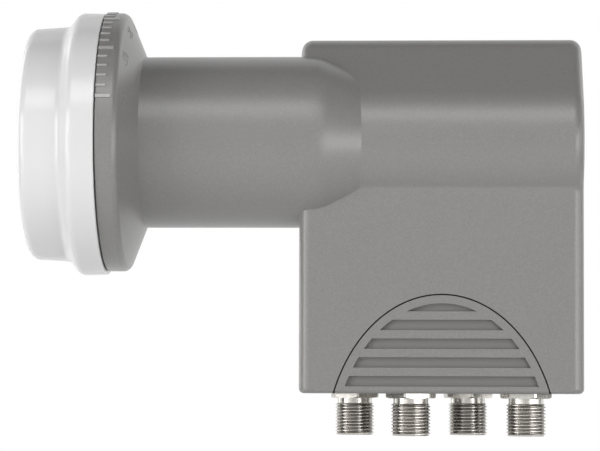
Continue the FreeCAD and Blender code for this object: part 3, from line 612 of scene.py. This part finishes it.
def make_guard(finish):
    """A skirt inside the housing's foot, with a ribbed arch grip flush in the front and in the back."""
    inset = WALL + GUARD_PLAY
    low = Vector((BOX_LEFT + inset, FRONT_FACE + inset, BOX_BOTTOM))
    high = Vector((BOX_RIGHT - inset, REAR_FACE - inset, guard_high.z))
    sleeve = block(low, high)
    corners = [edge for edge in sleeve.edges if near(edge.verts[0].co.x, edge.verts[1].co.x)
               and near(edge.verts[0].co.y, edge.verts[1].co.y)]
    rounded(sleeve, corners, END_RADIUS - inset, SMALL_ROUND_STEP)
    wall = Vector((GUARD_WALL, GUARD_WALL, 0.0))
    beyond = Vector((0.0, 0.0, BEYOND))
    sleeve = less(sleeve, block(low + wall - beyond, high - wall + beyond))
    half = PEG_RADIUS + PEG_PLAY
    left = low.x - JUST_BEYOND
    right = high.x + JUST_BEYOND
    run = block((left, PEG_SIDE - half, PEG_HEIGHT), (right, PEG_SIDE + half, PEG_HEIGHT + GUARD_TRAVEL))
    for level in (PEG_HEIGHT, PEG_HEIGHT + GUARD_TRAVEL):
        run = joined(run, rod(half, (left, PEG_SIDE, level), high.x - low.x + 2 * JUST_BEYOND))
    sleeve = less(sleeve, run)
    play = ARCH_GAP / 2
    before = FRONT_FACE - BEYOND
    behind = REAR_FACE + BEYOND
    for y_low, y_high in ((before, low.y + GUARD_WALL / 2), (high.y - GUARD_WALL / 2, behind)):
        grip = shared(arch(play, y_low, y_high), housing_outside())
        sleeve = joined(sleeve, grip)
    for y_low, y_high in ((before, FRONT_FACE + SLOT_DEPTH), (REAR_FACE - SLOT_DEPTH, behind)):
        bars = []
        for index in range(SLOT_COUNT):
            top = SLOT_TOP - SLOT_PITCH * index
            bars.append(block((ARCH_MIDDLE - ARCH_HALF_WIDTH, y_low, top - SLOT_HEIGHT),
                              (ARCH_MIDDLE + ARCH_HALF_WIDTH, y_high, top)))
        field = arch(ARCH_RIM, y_low - JUST_BEYOND, y_high + JUST_BEYOND)
        sleeve = less(sleeve, shared(merged(*bars), field))
    softened(sleeve, lambda p: near(p.y, FRONT_FACE) or near(p.y, REAR_FACE), GRIP_SOFT)
    finish_piece("guard_skirt", sleeve, finish, "guard", ["weather_guard"])


# Cap


def make_cap(finish):
    """A snap-on cup: a round front, a ramp and a wider ring that closes over the horn's collar."""
    rim = CAP_RING_RADIUS - CAP_TAPER
    bm = turned([
        (cap_low.x, 0.0),
        (cap_low.x, CAP_FRONT_RADIUS),
        (RAMP_START, CAP_NECK_RADIUS),
        (RAMP_END, CAP_RING_RADIUS),
        (cap_high.x, rim),
        (cap_high.x, 0.0),
    ])
    round_ring(bm, cap_low.x, CAP_FRONT_RADIUS, CAP_ROUND)
    round_ring(bm, RAMP_START, CAP_NECK_RADIUS, RAMP_ROUND)
    round_ring(bm, RAMP_END, CAP_RING_RADIUS, RAMP_ROUND)
    round_ring(bm, cap_high.x, rim, 2 * SOFT_EDGE)
    bmesh.ops.translate(bm, verts=bm.verts, vec=(0.0, 0.0, -CAP_DROP))
    room = turned([
        (cap_high.x + BEYOND, 0.0),
        (cap_high.x + BEYOND, BEAD_RADIUS),
        (BEAD_FRONT, BEAD_RADIUS),
        (BEAD_FRONT, CAP_ROOM),
        (STEP_FRONT, CAP_ROOM),
        (CAP_BORE_END, CAP_BORE),
        (cap_low.x + CAP_WALL, CAP_BORE),
        (cap_low.x + CAP_WALL, 0.0),
    ])
    finish_piece("rain_cap", less(bm, room), finish, "housing", ["feed_cap"])


# Outputs


def thread():
    """The threaded length: a row of ridges spun through one turn while it climbs by one pitch."""
    ridges = math.ceil((THREAD_END - COLLAR_LENGTH) / THREAD_PITCH) + SPARE_RIDGES
    low = -THREAD_END - 2 * THREAD_PITCH
    bm = bmesh.new()
    points = []
    for ridge in range(ridges):
        for part, depth in THREAD_RIDGE:
            radius = THREAD_RADIUS - THREAD_DEPTH * depth
            points.append(bm.verts.new((radius, 0.0, low + THREAD_PITCH * (ridge + part))))
    lines = [bm.edges.new(pair) for pair in zip(points, points[1:])]
    bmesh.ops.spin(bm, geom=points + lines, cent=(0.0, 0.0, 0.0), axis=(0.0, 0.0, 1.0),
                   dvec=(0.0, 0.0, THREAD_PITCH / THREAD_STEPS), angle=2 * math.pi, steps=THREAD_STEPS)
    bmesh.ops.remove_doubles(bm, verts=bm.verts, dist=A_HAIR)
    for level, side in ((-THREAD_END + A_HAIR, -1.0), (-COLLAR_LENGTH, 1.0)):
        bmesh.ops.bisect_plane(bm, geom=list(bm.verts) + list(bm.edges) + list(bm.faces),
                               plane_co=(0.0, 0.0, level), plane_no=(0.0, 0.0, side), clear_outer=True)
    bmesh.ops.holes_fill(bm, edges=[edge for edge in bm.edges if edge.is_boundary])
    bmesh.ops.recalc_face_normals(bm, faces=bm.faces)
    envelope = turned([
        (-THREAD_END, 0.0),
        (-THREAD_END, THREAD_RADIUS - THREAD_CHAMFER),
        (-THREAD_END + THREAD_CHAMFER, THREAD_RADIUS + THREAD_ROOM),
        (-COLLAR_LENGTH - THREAD_RUNOUT, THREAD_RADIUS + THREAD_ROOM),
        (-COLLAR_LENGTH, COLLAR_RADIUS),
        (-COLLAR_LENGTH, 0.0),
    ], "Z", THREAD_STEPS)
    return shared(bm, envelope)


def hexagon():
    """A hexagon with its corners turned off below."""
    bm = bmesh.new()
    ring = bmesh.ops.create_circle(bm, cap_ends=True, segments=6, radius=HEX_FLATS / math.sqrt(3))["verts"]
    bmesh.ops.rotate(bm, verts=ring, matrix=Matrix.Rotation(math.radians(CORNER_TO_FLAT), 3, "Z"))
    draw_out(bm, (0.0, 0.0, HEX_HEIGHT))
    lens = turned([
        (0.0, 0.0),
        (0.0, HEX_CORNER - HEX_CHAMFER_WIDTH),
        (HEX_CHAMFER_HEIGHT, HEX_CORNER),
        (HEX_HEIGHT, HEX_CORNER),
        (HEX_HEIGHT, 0.0),
    ], "Z")
    return shared(bm, lens)


def port_body():
    """One output: threaded barrel, plain collar, hexagon and the stub that goes up into the casting."""
    core = turned([
        (-CORE_LENGTH, 0.0),
        (-CORE_LENGTH, COLLAR_RADIUS - CORE_TAPER),
        (-COLLAR_LENGTH, COLLAR_RADIUS),
        (COLLAR_SUNK, COLLAR_RADIUS),
        (COLLAR_SUNK, STUB_RADIUS),
        (STUB_TOP, STUB_RADIUS),
        (STUB_TOP, 0.0),
    ], "Z", THREAD_STEPS)
    body = joined(joined(hexagon(), core), thread())
    start = (0.0, 0.0, -THREAD_END - JUST_BEYOND)
    bore = rod(PORT_BORE, start, THREAD_END + STUB_TOP + 2 * JUST_BEYOND, "Z", THREAD_STEPS)
    return less(body, bore)


def darken_grooves(piece, axis):
    """Tells the finish how deep in the thread each point lies, so that its grooves are painted darker as
    shade.
    """
    groove = piece.data.attributes.new("groove", "FLOAT", "POINT")
    top = axis.z - COLLAR_LENGTH - THREAD_PITCH / 2
    for vert, share in zip(piece.data.vertices, groove.data):
        place = vert.co / MM
        out = math.hypot(place.x - axis.x, place.y - axis.y)
        if place.z < top and out > PORT_BORE + BORE_SKIN:
            share.value = min(max((THREAD_RADIUS - out) / THREAD_DEPTH, 0.0), 1.0)


def make_ports(finish):
    """Four equal outputs, each turned as its hexagon stands in the photograph."""
    body = port_body()
    for number, hex_turn in enumerate(HEX_TURNS, start=1):
        low, high = span(f"connector_insulator_{number}")
        face = span(f"f_connector_{number}")[0].z + THREAD_END
        bm = body.copy()
        spin = Matrix.Rotation(math.radians(hex_turn - CORNER_TO_FLAT), 4, "Z")
        axis = Vector(((low.x + high.x) / 2, (low.y + high.y) / 2, face))
        bmesh.ops.transform(bm, verts=bm.verts, matrix=Matrix.Translation(axis) @ spin)
        nodes = [f"f_connector_{number}"]
        piece = finish_piece(f"output_{number}", bm, finish, "housing", nodes)
        darken_grooves(piece, axis)
    body.free()


# Finishes


class Graph:
    """The nodes of one material or of the world."""

    def __init__(self, owner):
        owner.use_nodes = True
        self.tree = owner.node_tree
        self.tree.nodes.clear()

    def node(self, kind, settings=None, values=None):
        """Adds one node: its settings first, then the values or links of its sockets."""
        made = self.tree.nodes.new(kind)
        for name, value in (settings or {}).items():
            setattr(made, name, value)
        for name, value in (values or {}).items():
            if isinstance(value, Varying):
                value = value.socket
            if isinstance(value, bpy.types.NodeSocket):
                self.tree.links.new(value, made.inputs[name])
            else:
                made.inputs[name].default_value = value
        return made

    def maths(self, operation, *values):
        """One sum on numbers or varying numbers."""
        made = self.node("ShaderNodeMath", {"operation": operation}, dict(enumerate(values)))
        return Varying(self, made.outputs[0])

    def place(self):
        """Where a point lies on the object, in metres."""
        return self.node("ShaderNodeTexCoord").outputs["Object"]

    def parts(self, vector):
        """The three parts of a place."""
        made = self.node("ShaderNodeSeparateXYZ", values={0: vector})
        return [Varying(self, part) for part in made.outputs]

    def noise(self, grain, detail=2.0, roughness=0.5, stretch=(1.0, 1.0, 1.0)):
        """Smooth noise whose features are about as wide as the grain, in millimetres."""
        spread = self.node("ShaderNodeMapping", values={"Vector": self.place(), "Scale": stretch})
        made = self.node("ShaderNodeTexNoise", values={
            "Vector": spread.outputs[0], "Scale": 1.0 / (grain * MM), "Detail": detail,
            "Roughness": roughness})
        return Varying(self, made.outputs["Fac"])

    def blend(self, amount, first, second):
        """A colour between two, by an amount."""
        made = self.node("ShaderNodeMix", {"data_type": "RGBA"}, {0: amount, 6: first, 7: second})
        return made.outputs[2]

    def bump(self, height, depth):
        """Relief of a depth in millimetres."""
        made = self.node("ShaderNodeBump", values={"Height": height, "Strength": 1.0, "Distance": depth * MM})
        return made.outputs["Normal"]

    def surface(self, **values):
        """The principled shader, with socket names written with underscores."""
        named = {name.replace("_", " ").title(): value for name, value in values.items()}
        shader = self.node("ShaderNodeBsdfPrincipled", values=named)
        self.node("ShaderNodeOutputMaterial", values={"Surface": shader.outputs[0]})


class Varying:
    """A number that varies over a surface, on which sums are written as plain maths."""

    def __init__(self, graph, socket):
        self.graph = graph
        self.socket = socket

    def __add__(self, other):
        return self.graph.maths("ADD", self, other)

    def __sub__(self, other):
        return self.graph.maths("SUBTRACT", self, other)

    def __rsub__(self, other):
        return self.graph.maths("SUBTRACT", other, self)

    def __mul__(self, other):
        return self.graph.maths("MULTIPLY", self, other)

    __radd__ = __add__
    __rmul__ = __mul__


def colour(red, green, blue):
    """A colour given as the eye reads it, from 0 to 255, as the linear values that a shader takes."""
    levels = [channel / 255 for channel in (red, green, blue)]
    linear = [level / 12.92 if level <= 0.04045 else ((level + 0.055) / 1.055) ** 2.4 for level in levels]
    return (*linear, 1.0)


def grained_plastic(name, marked=None):
    """Weatherproof plastic from a spark-eroded mould: matt, with a fine even grain.

    What is marked gives the share of another skin, with its tone and its roughness: the scale's painted
    highlight or the slots' painted shade. The gap round each grip is painted dark as shade.
    """
    material = bpy.data.materials.new(name)
    graph = Graph(material)
    grain = graph.noise(0.3, roughness=0.6)
    cloud = graph.noise(9.0, detail=3.0, roughness=0.55)
    speck = graph.maths("MAXIMUM", (grain - 0.5) * SPECK_CONTRAST + 0.5, 0.0)
    tone = graph.blend(cloud, colour(117, 116, 115), colour(122, 121, 120))
    tone = graph.blend(speck, tone, colour(137, 136, 135))
    rough = PLASTIC_ROUGHNESS + (grain - 0.5) * 0.1
    if marked:
        share, other_tone, other_rough = marked(graph)
        tone = graph.blend(share, tone, other_tone)
        rough = rough + share * (other_rough - PLASTIC_ROUGHNESS)
    # Painted shade: the walls of the gap round each grip are coloured dark.
    tone = graph.blend(dirty_gap(graph), tone, colour(*GAP_SHADE_TONE))
    graph.surface(base_color=tone, roughness=rough, normal=graph.bump(grain, 0.035))
    return material


def depth_under_faces(graph, y):
    """How far a point lies inside the flat front or the flat rear, in metres."""
    middle = (FRONT_FACE + REAR_FACE) / 2
    return (REAR_FACE - middle) * MM - graph.maths("ABSOLUTE", y - middle * MM)


def dirty_gap(graph):
    """The two walls of the gap round each grip, from just inside the edge, which are painted dark as the
    shade that falls in the gap.
    """
    x, y, z = graph.parts(graph.place())
    across = (x - ARCH_MIDDLE * MM) * (1.0 / (ARCH_HALF_WIDTH * MM))
    along = (z - ARCH_CENTRE * MM) * (1.0 / (ARCH_HALF_HEIGHT * MM))
    off_arch = graph.maths("ABSOLUTE", across * across + along * along - 1.0)
    on_arch = graph.maths("LESS_THAN", off_arch, GAP_BAND)
    inside = (depth_under_faces(graph, y) - SOFT_EDGE * MM) * (1.0 / (SOFT_EDGE * MM))
    return on_arch * graph.maths("MAXIMUM", graph.maths("MINIMUM", inside, 1.0), 0.0)


def bright_marks(graph):
    """The scale's raised lines and, fainter, its numbers, painted paler as a highlight where they catch the
    light, with a little smoother skin.
    """
    x, y, z = graph.parts(graph.place())
    out = graph.maths("POWER", y * y + z * z, 0.5)
    mark = graph.maths("GREATER_THAN", out, (RING_RADIUS + MARK_SKIN) * MM)
    cone = (NECK_RADIUS + NECK_END * RING_SLOPE) * MM - x * RING_SLOPE
    number = graph.maths("GREATER_THAN", out - cone, NUMBER_RELIEF * MM)
    before_cone = graph.maths("LESS_THAN", x, RING_CORNER * MM)
    on_cone = (1.0 - before_cone) * graph.maths("LESS_THAN", x, (NECK_END - NUMBER_MARGIN) * MM)
    # Painted highlight on the marks and, fainter, on the numbers.
    share = mark * before_cone + number * on_cone * NUMBER_HIGHLIGHT_SHARE
    return share, colour(*MARK_HIGHLIGHT_TONE), MARK_ROUGHNESS


def dull_slots(graph):
    """The floors of the grips' slots and what lies deeper, with a coarser skin than the ribs and a darker
    tone painted as the shade in the recesses.
    """
    y = graph.parts(graph.place())[1]
    share = graph.maths("MINIMUM", depth_under_faces(graph, y) * (1.0 / (SLOT_DEPTH * MM)), 1.0)
    # Painted shade in the recesses, with a real rougher skin.
    return graph.maths("MAXIMUM", share, 0.0), colour(*SLOT_SHADE_TONE), SLOT_ROUGHNESS


def glossy_plastic():
    """Smooth white plastic with a faint waviness from the mould."""
    material = bpy.data.materials.new("glossy_plastic")
    graph = Graph(material)
    cloud = graph.noise(14.0)
    fine = graph.noise(1.2)
    tone = graph.blend(cloud, colour(219, 219, 219), colour(222, 222, 222))
    graph.surface(base_color=tone, roughness=0.2 + fine * 0.05, normal=graph.bump(cloud, 0.02))
    return material


def nickel_plate():
    """Turned brass under bright nickel, with fine rings from the lathe, a few dull patches and painted shade
    that darkens the thread's grooves.
    """
    material = bpy.data.materials.new("nickel_plate")
    graph = Graph(material)
    rings = graph.noise(0.12, stretch=(0.15, 0.15, 1.0))
    dull = graph.noise(1.4, detail=3.0, roughness=0.6)
    groove = graph.node("ShaderNodeAttribute", {"attribute_name": "groove"}).outputs["Fac"]
    tone = graph.blend(dull, colour(174, 171, 166), colour(198, 195, 190))
    # Painted shade: the thread's grooves are coloured darker the deeper they lie.
    tone = graph.blend(graph.maths("POWER", groove, GROOVE_SHADE_CONTRAST), tone, colour(112, 109, 105))
    graph.surface(base_color=tone, metallic=1.0, roughness=0.2 + dull * 0.12, normal=graph.bump(rings, 0.006))
    return material


def cast_metal():
    """Die-cast alloy with the mottled skin that the mould leaves."""
    material = bpy.data.materials.new("cast_metal")
    graph = Graph(material)
    skin = graph.noise(0.5, detail=4.0, roughness=0.6)
    flow = graph.noise(6.0, detail=3.0, stretch=(1.0, 1.0, 0.4))
    tone = graph.blend(flow, colour(150, 150, 148), colour(182, 182, 180))
    graph.surface(base_color=tone, metallic=0.9, roughness=0.42 + skin * 0.2, normal=graph.bump(skin, 0.03))
    return material


def bright_zinc():
    """Zinc-plated steel of the screws and the cross pin, brighter where it is worn."""
    material = bpy.data.materials.new("bright_zinc")
    graph = Graph(material)
    wear = graph.noise(0.6, detail=3.0)
    tone = graph.blend(wear, colour(178, 180, 180), colour(205, 206, 204))
    graph.surface(base_color=tone, metallic=1.0, roughness=0.25 + wear * 0.2, normal=graph.bump(wear, 0.01))
    return material


def seal_rubber():
    """Black rubber with a faint grey bloom."""
    material = bpy.data.materials.new("seal_rubber")
    graph = Graph(material)
    bloom = graph.noise(0.8, detail=3.0)
    tone = graph.blend(bloom, colour(24, 24, 25), colour(40, 40, 41))
    graph.surface(base_color=tone, roughness=0.6 + bloom * 0.2, normal=graph.bump(bloom, 0.01))
    return material


def circuit_laminate():
    """Green solder mask over paler tracks."""
    material = bpy.data.materials.new("circuit_laminate")
    graph = Graph(material)
    weave = graph.noise(0.4)
    tracks = graph.noise(2.6, detail=0.0, roughness=0.0, stretch=(1.0, 1.0, 0.25))
    lines = graph.maths("GREATER_THAN", tracks, TRACK_LEVEL)
    tone = graph.blend(lines, colour(18, 78, 44), colour(44, 112, 66))
    graph.surface(base_color=tone, roughness=0.35 + weave * 0.1, normal=graph.bump(lines, 0.02))
    return material


def gilt_pin():
    """Gold plate on the contacts and the pick-up pins."""
    material = bpy.data.materials.new("gilt_pin")
    graph = Graph(material)
    wear = graph.noise(0.5)
    tone = graph.blend(wear, colour(214, 178, 98), colour(232, 200, 122))
    graph.surface(base_color=tone, metallic=1.0, roughness=0.2 + wear * 0.12, normal=graph.bump(wear, 0.004))
    return material


def fired_ceramic():
    """Pale speckled ceramic of the oscillators' pucks."""
    material = bpy.data.materials.new("fired_ceramic")
    graph = Graph(material)
    speck = graph.noise(0.25, detail=4.0, roughness=0.7)
    tone = graph.blend(speck, colour(196, 178, 146), colour(216, 200, 170))
    graph.surface(base_color=tone, roughness=0.55 + speck * 0.15, normal=graph.bump(speck, 0.008))
    return material


def waxy_insulator():
    """Milky plastic that holds each output's contact."""
    material = bpy.data.materials.new("waxy_insulator")
    graph = Graph(material)
    cloud = graph.noise(1.0)
    tone = graph.blend(cloud, colour(222, 222, 216), colour(234, 234, 229))
    graph.surface(base_color=tone, roughness=0.35 + cloud * 0.1, normal=graph.bump(cloud, 0.006))
    return material


def dress_inner_nodes(finishes):
    """Gives every node that stays as it is the finish of its slot."""
    for row in frame["record"]["subparts"]:
        node = frame["nodes"][row["node"]]
        for place in node.material_slots:
            place.material = finishes[row["material_slot"]]


# Camera, lamps, floor and dark cloths


def make_camera():
    """Stands where the photograph was taken from and looks at the middle of its frame."""
    focal = PIXELS_PER_MM * CAMERA_DISTANCE
    forward = Vector((0.0, math.cos(CAMERA_BELOW), math.sin(CAMERA_BELOW)))
    upward = Vector((0.0, -math.sin(CAMERA_BELOW), math.cos(CAMERA_BELOW)))
    across = PHOTO_SIZE[0] / 2 - SQUARE_PIXEL[0]
    down = PHOTO_SIZE[1] / 2 - SQUARE_PIXEL[1]
    sight = forward * focal + Vector((across, 0.0, 0.0)) - upward * down
    camera = bpy.data.objects.new("camera", bpy.data.cameras.new("camera"))
    bpy.context.scene.collection.objects.link(camera)
    camera.data.sensor_width = SENSOR_WIDTH
    camera.data.lens = SENSOR_WIDTH * focal / PHOTO_SIZE[0]
    camera.data.clip_start, camera.data.clip_end = CAMERA_RANGE
    camera.location = (SQUARE_POINT - forward * CAMERA_DISTANCE) * MM
    camera.rotation_mode = "QUATERNION"
    roll = Quaternion((0.0, 0.0, 1.0), CAMERA_ROLL)
    camera.rotation_quaternion = sight.to_track_quat("-Z", "Y") @ roll
    bpy.context.scene.camera = camera


def make_softbox(name, place, size, power):
    """A rectangular lamp at a place, turned to the object."""
    lamp = bpy.data.lights.new(name, "AREA")
    lamp.shape = "RECTANGLE"
    lamp.size, lamp.size_y = size
    lamp.energy = power
    softbox = bpy.data.objects.new(name, lamp)
    bpy.context.scene.collection.objects.link(softbox)
    softbox.location = place
    softbox.rotation_mode = "QUATERNION"
    softbox.rotation_quaternion = (LAMP_TARGET - place).to_track_quat("-Z", "Y")


def make_lights():
    """Softboxes all round the object, at one distance from it."""
    for name, turn, rise, size, power in LAMPS:
        turn = math.radians(turn)
        rise = math.radians(rise)
        level = math.cos(rise)
        direction = Vector((math.sin(turn) * level, -math.cos(turn) * level, math.sin(rise)))
        make_softbox(name, LAMP_TARGET + direction * LAMP_DISTANCE, size, power)


def eye_and_gloss(graph):
    """One where the eye or a glossy surface looks, and nought for the light that falls on the object."""
    path = graph.node("ShaderNodeLightPath")
    seen = Varying(graph, path.outputs["Is Camera Ray"]) + Varying(graph, path.outputs["Is Glossy Ray"])
    seen = seen + Varying(graph, path.outputs["Is Transmission Ray"])
    return graph.maths("MINIMUM", seen, 1.0)


def make_stage(name, corners, faces, finish):
    """Flat sheets between corners, in metres, that aren't part of the object."""
    mesh = bpy.data.meshes.new(name)
    mesh.from_pydata(corners, [], faces)
    sheet = bpy.data.objects.new(name, mesh)
    bpy.context.scene.collection.objects.link(sheet)
    mesh.materials.append(finish)
    return sheet


def make_floor():
    """A white floor that keeps the object's soft shadow and looks whiter further out."""
    paint = bpy.data.materials.new("floor_white")
    graph = Graph(paint)
    matt = graph.node("ShaderNodeBsdfDiffuse", values={"Color": FLOOR_PAINT})
    away = graph.node("ShaderNodeVectorMath", {"operation": "LENGTH"}, {0: graph.place()})
    rise = Varying(graph, away.outputs["Value"]) * FLOOR_GLOW_RISE
    level = graph.maths("MINIMUM", FLOOR_GLOW + rise, 1.0)
    glow = graph.node("ShaderNodeEmission", values={"Color": WHITE, "Strength": level})
    both = graph.node("ShaderNodeAddShader", values={0: matt.outputs[0], 1: glow.outputs[0]})
    shown = graph.node("ShaderNodeMixShader", values={
        0: eye_and_gloss(graph), 1: matt.outputs[0], 2: both.outputs[0]})
    graph.node("ShaderNodeOutputMaterial", values={"Surface": shown.outputs[0]})
    half = FLOOR_SIZE / 2
    corners = [(x, y, FLOOR_LEVEL) for x, y in ((-half, -half), (half, -half), (half, half), (-half, half))]
    make_stage("floor", corners, [(0, 1, 2, 3)], paint)


def make_screens():
    """Dark cloths left, right and over the set, out of the picture, that give metal its dark bands."""
    cloth = bpy.data.materials.new("dark_cloth")
    graph = Graph(cloth)
    matt = graph.node("ShaderNodeBsdfDiffuse", values={"Color": SCREEN_CLOTH})
    graph.node("ShaderNodeOutputMaterial", values={"Surface": matt.outputs[0]})
    near_side, far_side = SCREEN_REACH
    ground = [(x, y) for x in (-SCREEN_HALF, SCREEN_HALF) for y in (far_side, near_side)]
    corners = [(x, y, z) for z in (FLOOR_LEVEL, SCREEN_TOP) for x, y in ground]
    left = (0, 1, 5, 4)
    right = (3, 2, 6, 7)
    roof = (4, 5, 7, 6)
    make_stage("dark_backdrop", corners, [left, right, roof], cloth).visible_camera = False


def make_world():
    """White to the eye and to gloss, and a faint, even light on the object."""
    world = bpy.data.worlds.new("studio")
    bpy.context.scene.world = world
    graph = Graph(world)
    level = ROOM_LIGHT + eye_and_gloss(graph) * (1.0 - ROOM_LIGHT)
    glow = graph.node("ShaderNodeBackground", values={"Color": WHITE, "Strength": level})
    graph.node("ShaderNodeOutputWorld", values={"Surface": glow.outputs[0]})


bpy.context.scene.view_settings.view_transform = "Standard"
make_camera()
make_world()
make_floor()
make_screens()
make_lights()
finishes = {
    "grey_plastic": grained_plastic("grained_plastic", bright_marks),
    "white_plastic": glossy_plastic(),
    "nickel_plate": nickel_plate(),
    "cast_metal": cast_metal(),
    "zinc_steel": bright_zinc(),
    "seal_rubber": seal_rubber(),
    "board": circuit_laminate(),
    "gilt_pin": gilt_pin(),
    "ceramic": fired_ceramic(),
    "insulator": waxy_insulator(),
}
dress_inner_nodes(finishes)
make_shells(finishes["grey_plastic"])
make_guard(grained_plastic("grip_plastic", dull_slots))
make_cap(finishes["white_plastic"])
make_ports(finishes["nickel_plate"])
